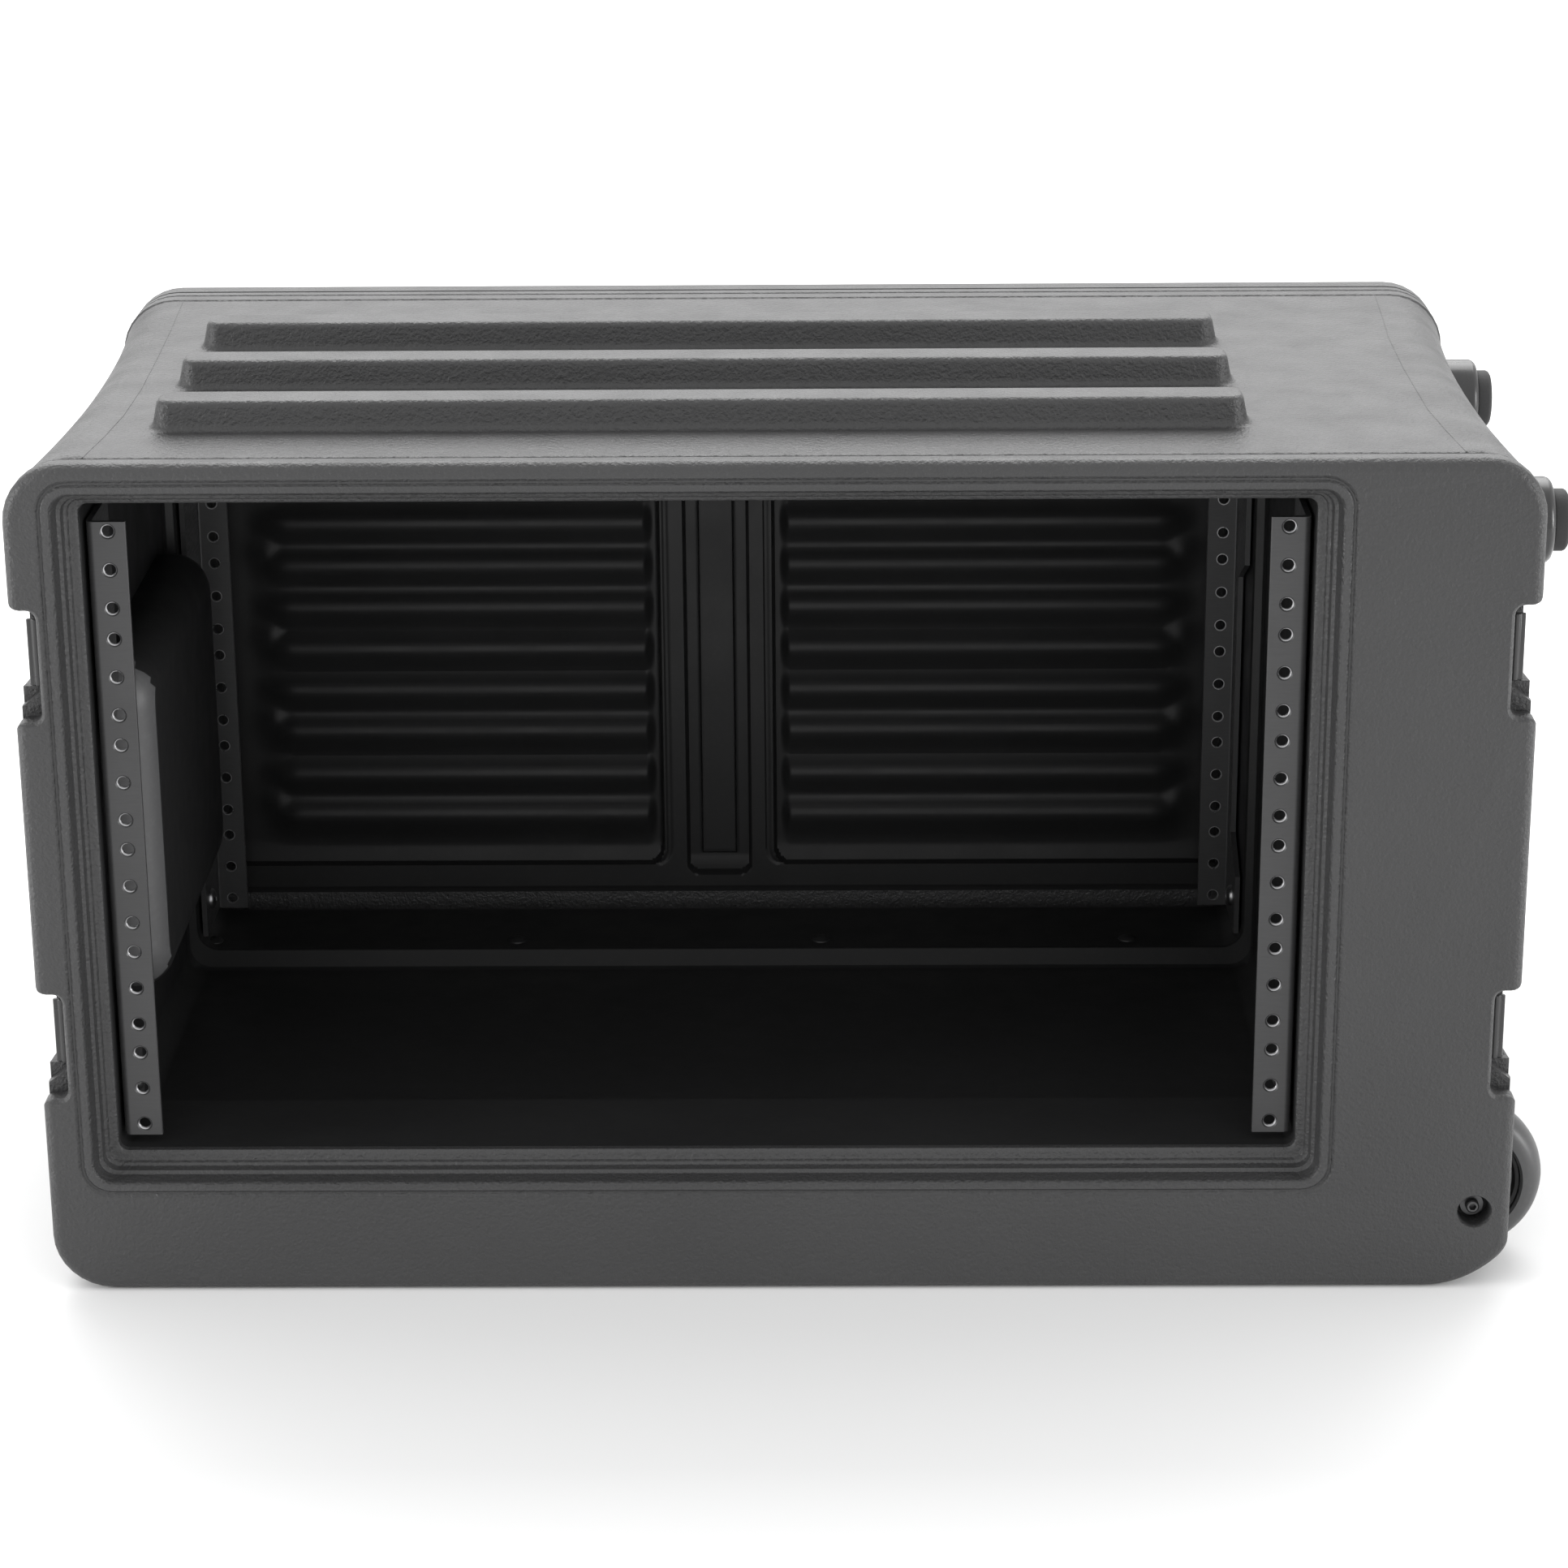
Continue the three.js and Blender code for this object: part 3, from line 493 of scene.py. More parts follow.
def bay_hollow():
    """The bay: a stepped ring at each end, a lip behind it, and the room between the lips."""
    front = [(FRONT + y, *rest) for y, *rest in BAY_RING]
    rear = [(REAR - y, x, top, bottom, max(corner, REAR_CORNER))
            for y, x, top, bottom, corner in reversed(BAY_RING)]
    return loft([bay_section(*section) for section in front + BAY_ROOM + rear])


def ring_groove(y, step):
    """The line groove round the raised band of the opening."""
    loops = []
    for x, depth in [(254.4, -1), (254.4, 0.1), (255.3, 0.95), (256.0, 0.95), (257.2, 0.1), (257.2, -1)]:
        grow = x - 251
        loops.append(at_y(rounded(-x, -145 - grow, x, 146.7 + grow, 7 + grow, 6), y + step * depth))
    return loft(loops, closed=True)


POCKET = {"front": 43, "rear": 218, "bottom": -84, "top": 56, "floor": -241.5, "corner": 18}
# The bulge round the pocket, in the bay's left wall
BULGE_FACE = -226
BULGE_ROOT = -256
BULGE_SKIN = 4.5
BULGE_ROUND = 16


def pocket_outline(grow):
    p = POCKET
    return rounded(p["front"] - grow, p["bottom"] - grow, p["rear"] + grow, p["top"] + grow,
                   p["corner"] + grow, 8)


def pocket_bulge():
    sections = [(BULGE_ROOT, BULGE_SKIN)]
    for a in (math.radians(15 * i) for i in range(7)):
        out, down = BULGE_ROUND * (1 - math.sin(a)), BULGE_ROUND * (1 - math.cos(a))
        sections.append((BULGE_FACE - out, BULGE_SKIN - down))
    return loft([at_x(pocket_outline(grow), x) for x, grow in sections])


def pocket_hollow():
    sections = [(LEFT - 6, 3.5), (LEFT + 0.5, 3.2), (LEFT + 2, 1.4), (LEFT + 4, 0.4), (LEFT + 7.5, 0)]
    sections += [(POCKET["floor"] - 3 * (1 - math.sin(a)), -3 * (1 - math.cos(a)))
                 for a in (math.radians(30 * i) for i in range(4))]
    return loft([at_x(pocket_outline(grow), x) for x, grow in sections])


# The latch notches, and the keepers behind the rim that they open to
NOTCH_TOPS = [100, -62]
NOTCH_HEIGHT = 46
NOTCH_DEPTH = 11
KEEPER_OFFSET = 7.6
KEEPER_HEIGHT = 27.4
KEEPER_FLOOR = 13.3
RIM = 10


def prism_y(pairs, y0, y1):
    return loft([at_y(pairs, y0), at_y(pairs, y1)])


def notch_outline(top, grow=0.0):
    """A notch in the left side, with rounded inner corners and a rounded mouth."""
    bottom, floor = top - NOTCH_HEIGHT, LEFT + NOTCH_DEPTH + grow
    low, high, mouth, inner = bottom - grow, top + grow, 4.5, 4 + grow
    return ([(LEFT - 10, low - mouth), (LEFT, low - mouth)]
            + arc(LEFT + mouth, low - mouth, mouth, 180, 90, 5)[1:]
            + arc(floor - inner, low + inner, inner, 270, 360, 5)
            + arc(floor - inner, high - inner, inner, 0, 90, 5)
            + arc(LEFT + mouth, high + mouth, mouth, 270, 180, 5) + [(LEFT - 10, high + mouth)])


def notch(top):
    """A latch notch on the left of the front rim, and the keeper's pocket behind it."""
    bottom, floor = top - NOTCH_HEIGHT, LEFT + NOTCH_DEPTH
    through = loft([at_y(notch_outline(top, g), y)
                    for y, g in [(FRONT - 1, 1.6), (FRONT + 0.1, 1.5), (FRONT + 0.5, 0.8), (FRONT + 1.6, 0),
                                 (FRONT + RIM, 0)]])
    keeper_top = top - KEEPER_OFFSET
    keeper_bottom = keeper_top - KEEPER_HEIGHT
    slope = [(LEFT - 1, bottom + 2), (floor, keeper_bottom), (floor, top), (LEFT - 1, top)]
    slot = prism_y(slope, FRONT + RIM - 1, FRONT + RIM + 5.5)
    seat = block((LEFT - 1, FRONT + RIM, keeper_bottom - 0.3), (LEFT + KEEPER_FLOOR, 11, keeper_top + 0.3))
    above = [(LEFT - 1, keeper_top - 20), (floor, keeper_top - 20), (floor, top), (LEFT - 1, top)]
    wedge = prism_y(above, FRONT + RIM + 5, 11)
    return [through, slot, seat, wedge]


def notches():
    cutters = []
    for top in NOTCH_TOPS:
        for piece in notch(top):
            rear = mirror_y(piece)
            cutters += [piece, rear, mirror_x(piece, SIDE_MIDDLE), mirror_x(rear, SIDE_MIDDLE)]
    return cutters


WHEEL_X, WHEEL_Z, WHEEL_Y = 315.5, -159, 20
WELL_RADIUS, WELL_HALF = 37.5, 14
AXLE_HOLE, NUT_SEAT = 4.3, 8


def wheel_wells():
    """A well for each wheel, the bolt's hole in the rim, its bore, and the nut's seat behind."""
    y0, y1 = WHEEL_Y - WELL_HALF, WHEEL_Y + WELL_HALF
    well = rod("y", WHEEL_X, WHEEL_Z, WELL_RADIUS, y0, y1, 96)
    outward = block((WHEEL_X, y0, WHEEL_Z - WELL_RADIUS), (RIGHT + 20, y1, WHEEL_Z + WELL_RADIUS))
    access = turned([(7.3, FRONT - 1), (7.2, FRONT + 0.1), (6.8, FRONT + 0.7), (6.7, FRONT + 2),
                     (6.6, FRONT + 11)], "y", WHEEL_X, WHEEL_Z, 40)
    bore = rod("y", WHEEL_X, WHEEL_Z, AXLE_HOLE, FRONT + 5, y1 + 20)
    seat = rod("y", WHEEL_X, WHEEL_Z, NUT_SEAT, y1 + 6, y1 + 20)
    front = [well, outward, access, bore, seat]
    return front + [mirror_y(piece) for piece in front]


TOW_Z = -168
TOW_SPREAD = 73.5
TOW_RADIUS = 7
TOW_BORE = 8.8
RECESS_HALF = 96


def tow_cutters():
    """The recess round the tow grip, and a bore for each tube."""
    y0, y1 = MIDDLE_Y - RECESS_HALF, MIDDLE_Y + RECESS_HALF
    sections = [(LEFT - 5, 1.8), (LEFT + 0.2, 1.6), (LEFT + 1.2, 0.5), (LEFT + 3, 0), (-217, 0),
                (-214.6, -0.8), (-214, -2.4)]
    recess = loft([at_x(rounded(y0 - g, -186 - g, y1 + g, -151 + g, 6, 5), x) for x, g in sections])
    bores = [rod("x", MIDDLE_Y + end * TOW_SPREAD, TOW_Z, TOW_BORE, -215, 240) for end in (-1, 1)]
    return [recess, *bores]


SEAT_GAP = 0.3
FOOT_SEAT = 18.05


def foot_seats():
    seats = []
    for node in ("foot_base_front", "foot_base_rear"):
        low, high = bay_box(node)
        middle = (low + high) / 2
        seats.append(rod("x", middle.y, middle.z, FOOT_SEAT, low.x - SEAT_GAP, RIGHT + 6, 64))
    return seats


def bracket_seats():
    seats = []
    for node in ("carry_bracket_front", "carry_bracket_rear"):
        low, high = bay_box(node)
        seats.append(block((low.x, low.y - SEAT_GAP, low.z - SEAT_GAP),
                           (high.x + SEAT_GAP, high.y + SEAT_GAP, high.z + SEAT_GAP)))
    return seats


def kiss_offs():
    """Small welds between the two walls, seen as dimples where the floor meets the rear ledge."""
    profile = [(5.0, -137.5), (4.2, -135.4), (2.6, -134.4), (1.0, -134.1)]
    return [turned(profile, "z", x, 231, 20) for x in (-237, -95, 47, 190)]


# The parting lines along the top, as (x, y)
PARTING_LEFT = [(-239, -8), (-236, 25), (-234, 60), (-234, 105), (-236, 160), (-238.5, 215), (-242, 275)]
PARTING_RIGHT = [(299, -8), (296, 25), (293.6, 60), (293.3, 133), (294.5, 190), (297, 230), (299.3, 275)]


def parting_line(points):
    """The thin raised line that the mould leaves along the top."""
    section = [(-0.5, -0.4), (0.5, -0.4), (0.12, 0.16), (-0.12, 0.16)]
    return loft([[(x + across, y, TOP + up) for across, up in section] for x, y in points])


def gasket_groove():
    return loft([at_y(rounded(-x, -148 - g, x, 149.7 + g, 8, 6), y)
                 for x, g, y in [(253.2, -0.3, REAR + 1), (253.2, -0.3, REAR - 3.1), (257.3, 3.8, REAR - 3.1),
                                 (257.3, 3.8, REAR + 1)]], closed=True)


# The faces that look into the bay, which get painted shade, and among them the end of the bulge that faces the
# opening, which gets painted light
SHADED_BAY_REACH = {"x": 249.5, "bottom": -148, "top": 149.5}
LIT_BULGE_END = {"wall": -247.4, "face": BULGE_FACE - 0.2, "front": 38, "rear": 52, "bottom": -90, "top": 62}


def paint_bay_shade_and_bulge_light(obj, y0, y1):
    """Paints shade on the faces from y0 to y1 that look into the bay, as a darker copy of the shell plastic, and
    painted light on the bulge's end, as a lighter copy.
    """
    obj.data.materials.append(SHADED_INSIDE)
    obj.data.materials.append(BULGE_PAINTED_LIGHT)
    to_bay = TO_ROW.inverted()
    reach, end = SHADED_BAY_REACH, LIT_BULGE_END
    for face in obj.data.polygons:
        x, y, z = to_bay @ face.center
        if abs(x) < reach["x"] and reach["bottom"] < z < reach["top"] and y0 < y < y1:
            # lit picks the bulge's end, which gets painted light; the other bay faces get painted shade
            lit = (end["wall"] < x < end["face"] and end["front"] < y < end["rear"]
                   and end["bottom"] < z < end["top"])
            face.material_index = 2 if lit else 1


def body_shell():
    body = outer_body()
    cut(body, bay_hollow())
    add(body, pocket_bulge(), *[rib(y) for y in RIB_MIDDLES], parting_line(PARTING_LEFT),
        parting_line(PARTING_RIGHT))
    cut(body, pocket_hollow(), ring_groove(FRONT, 1), gasket_groove(), *notches(), *wheel_wells(),
        *tow_cutters(), *foot_seats(), *bracket_seats())
    add(body, *kiss_offs())
    finish_piece(body, "case_body", "case", SHELL, ["body_shell"], 34)
    # painted shade on the faces inside the bay, painted light on the bulge's end
    paint_bay_shade_and_bulge_light(body, FRONT + 16, REAR - 14)


# ---- Rear lid ------------------------------------------------------------------------------------

LID_FRONT = LID_LOW.y
LID_REAR = LID_HIGH.y


def smooth(t):
    t = max(0.0, min(1.0, t))
    return t * t * (3 - 2 * t)


def bump_between(v, centre, half, soft):
    """1 inside half of centre, 0 outside, with a smooth shoulder of width soft."""
    return smooth((half + soft - abs(v - centre)) / soft)


PANEL = {"x": 236, "top": 134, "bottom": -131}
PANELS = ((-222, -31), (28, 225))
OUTER_FADE, INNER_FADE = 20, 5
CORRUGATIONS = [118, 77, 36, -5, -46, -88]
# Two smooth ridges to a corrugation: (height above its middle, width of the lower and of the upper slope,
# how far the ridge stands forward)
RIDGES = [(-7, 9.5, 6.5, 5.5), (13.5, 9.5, 6.5, 5.5)]
# Soft pads at the outer ends of the corrugations
PAD = {"ends": (-212, 216), "drop": 2, "half_width": 7, "half_height": 8, "height": 2.6}
# The column between the panels, which widens into a foot across the whole lid
COLUMN = {"left": -29.5, "right": 26, "height": 5.6, "foot": -120, "edge": 1.6}
FOOT = {"height": 9, "flare": 7, "width": 400}
LINE = {"inset": 4.2, "half": 0.5, "soft": 0.9, "depth": 0.7}
# The recess down the column's middle, and the bar that stands in it
RECESS = {"x": -1.6, "half": 9.5, "bottom": -119, "corner": 6.3, "soft": 1.8, "depth": 4.6}
BAR = {"half": 7.4, "soft": 1.3, "bottom": -115.6, "height": 3.6}


def wave(z):
    """How far the corrugation stands forward at height z."""
    depth = 0.0
    for centre in CORRUGATIONS:
        for offset, below, above, height in RIDGES:
            away = z - centre - offset
            depth = max(depth, height * math.exp(-(away / (below if away < 0 else above)) ** 2))
    return depth


def panel_fade(x):
    """1 inside the two panels, going to 0 at their ends."""
    fade = 0.0
    for low, high in PANELS:
        on_left = high < 0
        fade_low, fade_high = (OUTER_FADE, INNER_FADE) if on_left else (INNER_FADE, OUTER_FADE)
        fade = max(fade, smooth((x - low) / fade_low) * smooth((high - x) / fade_high))
    return fade


def pads(x, z):
    across, up = PAD["half_width"], PAD["half_height"]
    return max(PAD["height"] * math.exp(-((x - end) / across) ** 2 - ((z - centre + PAD["drop"]) / up) ** 2)
               for centre in CORRUGATIONS for end in PAD["ends"])


def column(x, z):
    """The column's height, less the line along each edge and the recess down its middle."""
    below = COLUMN["foot"] + FOOT["height"] - z
    flare = FOOT["flare"] * (1 - math.sqrt(max(0.0, 1 - (below / FOOT["height"]) ** 2))) if below > 0 else 0
    if z < COLUMN["foot"]:
        flare += FOOT["width"]
    left, right = COLUMN["left"] - flare, COLUMN["right"] + flare
    height = COLUMN["height"] * smooth((x - left) / COLUMN["edge"]) * smooth((right - x) / COLUMN["edge"])
    if height <= 5:
        return height
    line = sum(bump_between(x, middle, LINE["half"], LINE["soft"])
               for middle in (left + LINE["inset"], right - LINE["inset"]))
    corner = math.hypot(max(0, abs(x - RECESS["x"]) - RECESS["half"]), max(0, RECESS["bottom"] - z))
    recess = smooth((RECESS["corner"] - corner) / RECESS["soft"])
    bar = smooth((z - BAR["bottom"]) / RECESS["soft"])
    bar *= bump_between(x, RECESS["x"], BAR["half"], BAR["soft"])
    return height - LINE["depth"] * line - recess * (RECESS["depth"] - BAR["height"] * bar)


def panel_depth(x, z):
    """How far the lid's inner face stands forward of its deepest level at x, z."""
    border = 1.8 * smooth((-108 - z) / 16)
    return max(panel_fade(x) * wave(z), pads(x, z), border, column(x, z))


def spaced(low, high, step):
    """Even steps of about step from low up to high, without high itself."""
    count = max(1, round((high - low) / step))
    return [low + (high - low) * i / count for i in range(count)]


def lid_panel():
    """The lid's inner face as a fine grid, closed behind so that it is one body with the plate."""
    side = PANEL["x"]
    xs = spaced(-side, -214, 3) + spaced(-214, -196, 2) + spaced(-196, -42, 7) + spaced(-42, 38, 0.8)
    xs += spaced(38, 200, 7) + spaced(200, 220, 2) + spaced(220, side, 3) + [side]
    zs = spaced(PANEL["bottom"], -106, 0.9) + spaced(-106, PANEL["top"], 2) + [PANEL["top"]]
    deep, back = LID_FRONT + 8.5, LID_FRONT + 15
    verts = [(x, deep - panel_depth(x, z), z) for z in zs for x in xs]
    wide, high = len(xs), len(zs)
    front = len(verts)
    faces = []
    for j in range(high - 1):
        for i in range(wide - 1):
            a = j * wide + i
            faces.append((a, a + 1, a + wide + 1, a + wide))
    last_row = (high - 1) * wide
    rim = list(range(wide)) + [j * wide + wide - 1 for j in range(1, high)]
    rim += [last_row + i for i in range(wide - 2, -1, -1)] + [j * wide for j in range(high - 2, 0, -1)]
    verts += [(verts[r][0], back, verts[r][2]) for r in rim]
    for k in range(len(rim)):
        n = (k + 1) % len(rim)
        faces.append((rim[k], rim[n], front + n, front + k))
    faces.append(tuple(front + k for k in range(len(rim))))
    return mesh_object("panel", verts, faces)


def rear_lid():
    """The lid: a groove round it near the body, a rounded back, and the corrugated panel inside."""
    sections = edge_sections(LID_FRONT, 1.2, 1, 3)
    sections += [(LID_FRONT + 5.6, 0), (LID_FRONT + 6, 0.9), (LID_FRONT + 7.4, 0.9), (LID_FRONT + 7.8, 0)]
    sections += list(reversed(edge_sections(LID_REAR, 9, -1, 6)))
    lid = loft([at_y(case_outline(inset), y) for y, inset in sections])
    side, top, bottom = PANEL["x"], PANEL["top"], PANEL["bottom"]
    recess = loft([at_y(rounded(-side - g, bottom - g, side + g, top + g, 8 + g, 6), LID_FRONT + y)
                   for y, g in [(-1, 2), (0, 1.8), (1.2, 0.6), (3, 0), (13, 0)]])
    cut(lid, recess)
    add(lid, lid_panel())
    cutters = []
    for top in NOTCH_TOPS:
        opening = loft([at_y(notch_outline(top), y) for y in (LID_FRONT - 1, LID_FRONT + 21)])
        cutters += [opening, mirror_x(opening, SIDE_MIDDLE)]
    cut(lid, *cutters)
    finish_piece(lid, "rear_lid_shell", "case", SHELL, ["rear_lid"], 34)
    # painted shade on the lid's inner face, which closes the bay
    paint_bay_shade_and_bulge_light(lid, LID_FRONT + 0.5, LID_FRONT + 15)


# ---- Rails ---------------------------------------------------------------------------------------

RACK_UNIT = 44.45
HOLE_OFFSETS = [6.35, 22.225, 38.1]
HOLE_X = 232.55
HALF = 3 * RACK_UNIT
RAIL_IN, RAIL_OUT, THICK = -225.4, -241.3, 2.3
RAIL_TOP, RAIL_BOTTOM = HALF - 2.5, 1.4 - HALF
BEND, INNER_BEND = 3.2, 0.9
# The flange along the wall is deep in an ear at each end, where it is bolted, and shallow between them
EAR_DEPTH, EAR_SHALLOW, EAR_UPPER, EAR_LOWER = 40, 14, 46, -91
EAR_HOLES = (112, -118)


def rail_profile(depth):
    """The angle section in x and y, with a rounded bend."""
    outer = arc(RAIL_OUT + BEND, BEND, BEND, 270, 180, 6)
    inner = arc(RAIL_OUT + BEND, BEND, INNER_BEND, 180, 270, 6)
    return [(RAIL_IN, 0.3), (RAIL_IN - 0.3, 0), *outer, (RAIL_OUT, depth), (RAIL_OUT + THICK, depth),
            *inner, (RAIL_IN - 0.3, THICK), (RAIL_IN, THICK - 0.3)]


def hole_heights():
    return [HALF - unit * RACK_UNIT - offset for unit in range(6) for offset in HOLE_OFFSETS]


def left_rail():
    """The front left rail, with a countersunk hole at each height and two holes in its ears."""
    step = EAR_DEPTH - EAR_SHALLOW
    levels = [(RAIL_BOTTOM, EAR_DEPTH), (EAR_LOWER - step / 2, EAR_DEPTH), (EAR_LOWER, EAR_SHALLOW),
              (EAR_UPPER - step / 2, EAR_SHALLOW), (EAR_UPPER, EAR_DEPTH), (RAIL_TOP, EAR_DEPTH)]
    rail = loft([at_z(rail_profile(depth), z) for z, depth in levels])
    hole = [(3.6, -0.5), (3.25, -0.01), (2.75, 0.5), (2.75, THICK + 1)]
    for z in hole_heights():
        cut(rail, turned(hole, "y", -HOLE_X, z, 24))
    for z in EAR_HOLES:
        cut(rail, rod("x", 27, z, 3, RAIL_OUT - 1, RAIL_OUT + 4, 20))
    return rail


def thread_rings(rail_x):
    """The bright first turns of thread in each tapped hole, as one piece to a rail."""
    profile = [(2.74, 0.55), (2.74, THICK - 0.1), (2.35, THICK - 0.1), (2.35, 1.9), (2.6, 1.6), (2.35, 1.3),
               (2.6, 1.0), (2.4, 0.75)]
    return joined([ring_of(profile, "y", rail_x, z, 20) for z in hole_heights()])


def joined(objects):
    """Several bodies in one object, without joining their solids."""
    first = objects[0]
    work = bmesh.new()
    for obj in objects:
        work.from_mesh(obj.data)
    work.to_mesh(first.data)
    work.free()
    for obj in objects[1:]:
        bpy.data.objects.remove(obj)
    return first


def rails():
    front_left = left_rail()
    rings_left = thread_rings(-HOLE_X)
    copies = {"front_left": copy_of, "front_right": mirror_x, "rear_left": mirror_y,
              "rear_right": mirror_both}
    for place, make in copies.items():
        rail = make(front_left)
        finish_piece(rail, f"rail_{place}", "case", RAIL, [f"rack_rail_{place}"])
        rings = make(rings_left)
        finish_piece(rings, f"rail_threads_{place}", "case", THREAD, [])
    bpy.data.objects.remove(front_left)
    bpy.data.objects.remove(rings_left)


BOLT_HEAD = 2.6


def rail_bolts():
    """Button-head bolts with a hex socket."""
    for place in (f"{end}_{side}_{level}" for end in ("front", "rear") for side in ("left", "right")
                  for level in ("upper", "lower")):
        low, high = bay_box(f"rail_bolt_{place}")
        middle = (low + high) / 2
        right = "right" in place
        tip, seat, sign = (high.x, low.x + BOLT_HEAD, -1) if right else (low.x, high.x - BOLT_HEAD, 1)
        head = [(5, 0), (5, 0.5), (4.7, 1.3), (3.9, 2.0), (2.8, 2.5), (2.0, BOLT_HEAD)]
        profile = [(2.4, tip), (2.5, seat)] + [(r, seat + out * sign) for r, out in head]
        bolt = turned(profile, "x", middle.y, middle.z, 32)
        cut(bolt, rod("x", middle.y, middle.z, 1.7, seat + sign, seat + 4 * sign, 6))
        finish_piece(bolt, f"bolt_{place}", "case", ZINC, [f"rail_bolt_{place}"])


# ---- Pieces kept from the CAD, with softened edges ------------------------------------------------


def softened_copy(node, name, body, material, width, segments=2):
    """A CAD piece with its edges rounded."""
    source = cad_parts[node]
    obj = bpy.data.objects.new(name, source.data.copy())
    bpy.context.scene.collection.objects.link(obj)
    work = bmesh.new()
    work.from_mesh(obj.data)
    bmesh.ops.remove_doubles(work, verts=work.verts, dist=1e-6)
    bmesh.ops.dissolve_limit(work, angle_limit=math.radians(1), verts=work.verts, edges=work.edges)
    work.to_mesh(obj.data)
    work.free()
    obj.data.transform(TO_ROW.inverted())
    obj.data.materials.clear()
    soften(obj, width, segments)
    return finish_piece(obj, name, body, material, [node])


# How much further out a front keeper's lip stands than the CAD's
KEEPER_REACH = 2.8


def front_keeper(place, side):
    """A keeper whose upright lip has a rounded ridge, with a slot between it and the rim."""
    node = f"keeper_front_{place}"
    low, high = bay_box(node)
    inner, outer, step = (high.x, low.x, 1) if side == "left" else (low.x, high.x, -1)
    edge, y0 = outer - KEEPER_REACH * step, low.y
    ridge = [(edge + step * (3.6 - 1.5 * math.cos(a)), y0 - 0.1 - 1.1 * math.sin(a))
             for a in (math.radians(30 * i) for i in range(7))]
    outline = [(edge, y0 + 1.5), (edge, y0 + 0.5), (edge + 0.3 * step, y0), (edge + 1.8 * step, y0), *ridge,
               (inner, y0), (inner, high.y), (inner - 1.5 * step, high.y), (inner - 1.5 * step, y0 + 2),
               (edge + 0.5 * step, y0 + 2)]
    loops = [at_z(outline, z) for z in (low.z, high.z)]
    keeper = soften(loft(loops), 0.35, 2, 50)
    finish_piece(keeper, f"strike_front_{place}", "case", MOULDING, [node])


def small_pieces():
    for side in ("left", "right"):
        for level in ("upper", "lower"):
            place = f"{side}_{level}"
            front_keeper(place, side)
            softened_copy(f"keeper_rear_{place}", f"strike_rear_{place}", "case", MOULDING, 0.4)
            softened_copy(f"latch_base_{place}", f"latch_plate_{place}", "case", MOULDING, 0.4)
            softened_copy(f"latch_lever_{place}", f"latch_handle_{place}", f"lever_{place}",
                          MOULDING, 0.5)
            softened_copy(f"latch_hook_{place}", f"latch_link_{place}", f"hook_{place}", ZINC, 0.3)
    for end in ("front", "rear"):
        softened_copy(f"carry_bracket_{end}", f"bail_bracket_{end}", "case", MOULDING, 0.8, 3)
        softened_copy(f"tow_bush_{end}", f"tube_bush_{end}", "case", MOULDING, 0.3)


# ---- Wheels and feet -----------------------------------------------------------------------------


TYRE_SEAT = 23.4
CROWN = 9.5
BEARING_SEAT = 11.1
BEARING_DEPTH = 7
WINDOWS = 5
WINDOW_CIRCLE = 18.2


def wheels():
    for end in ("front", "rear"):
        body = f"wheel_{end}"
        low, high = bay_box(f"wheel_{end}_tyre")
        middle, half = (low + high) / 2, (high - low) / 2
        x, z = middle.x, middle.z
        crown = [(half.z - CROWN + CROWN * math.cos(a) ** 0.8, middle.y + (half.y - 0.4) * math.sin(a))
                 for a in (math.radians(degrees) for degrees in range(-80, 81, 16))]
        tyre = ring_of([(TYRE_SEAT, low.y + 1.2), (TYRE_SEAT + 1, low.y + 0.2), *crown,
                        (TYRE_SEAT + 1, high.y - 0.2), (TYRE_SEAT, high.y - 1.2)], "y", x, z, 96)
        finish_piece(tyre, f"tyre_{end}", body, TYRE, [f"wheel_{end}_tyre"])
        hub = wheel_hub(x, z, low.y + 2, high.y - 2)
        finish_piece(hub, f"hub_{end}", body, MOULDING, [f"wheel_{end}_hub"])
        wheel_fittings(end, x, z)


def wheel_hub(x, z, h0, h1):
    """A hub with two dished faces, a ring of small windows in each, and a seat for each bearing."""
    seat, stop = BEARING_SEAT, BEARING_SEAT - 2.5
    face = [(seat, 0), (13.2, -0.6), (14.6, 0), (16, 3), (20.6, 3), (21.6, 0.8), (23, 0.4)]
    profile = [(r, h0 + depth) for r, depth in face] + [(r, h1 - depth) for r, depth in reversed(face)]
    profile += [(seat, h1 - BEARING_DEPTH), (stop, h1 - BEARING_DEPTH), (stop, h0 + BEARING_DEPTH),
                (seat, h0 + BEARING_DEPTH)]
    hub = ring_of(profile, "y", x, z, 60)
    for window_x, window_z in circle(x, z, WINDOW_CIRCLE, WINDOWS):
        for start, end in ((h0 - 2, h0 + 6), (h1 - 6, h1 + 2)):
            cut(hub, rod("y", window_x, window_z, 1.9, start, end, 20))
    return hub


def bearing(x, z, y0, y1):
    """A ball bearing as one ring, with a shallow shield between its races on both faces."""
    face = [(4.15, 0), (6.2, 0), (6.4, 0.5), (9, 0.5), (9.2, 0), (10.7, 0), (11, 0.3)]
    profile = [(r, y0 + depth) for r, depth in face] + [(r, y1 - depth) for r, depth in reversed(face)]
    return ring_of(profile, "y", x, z, 48)


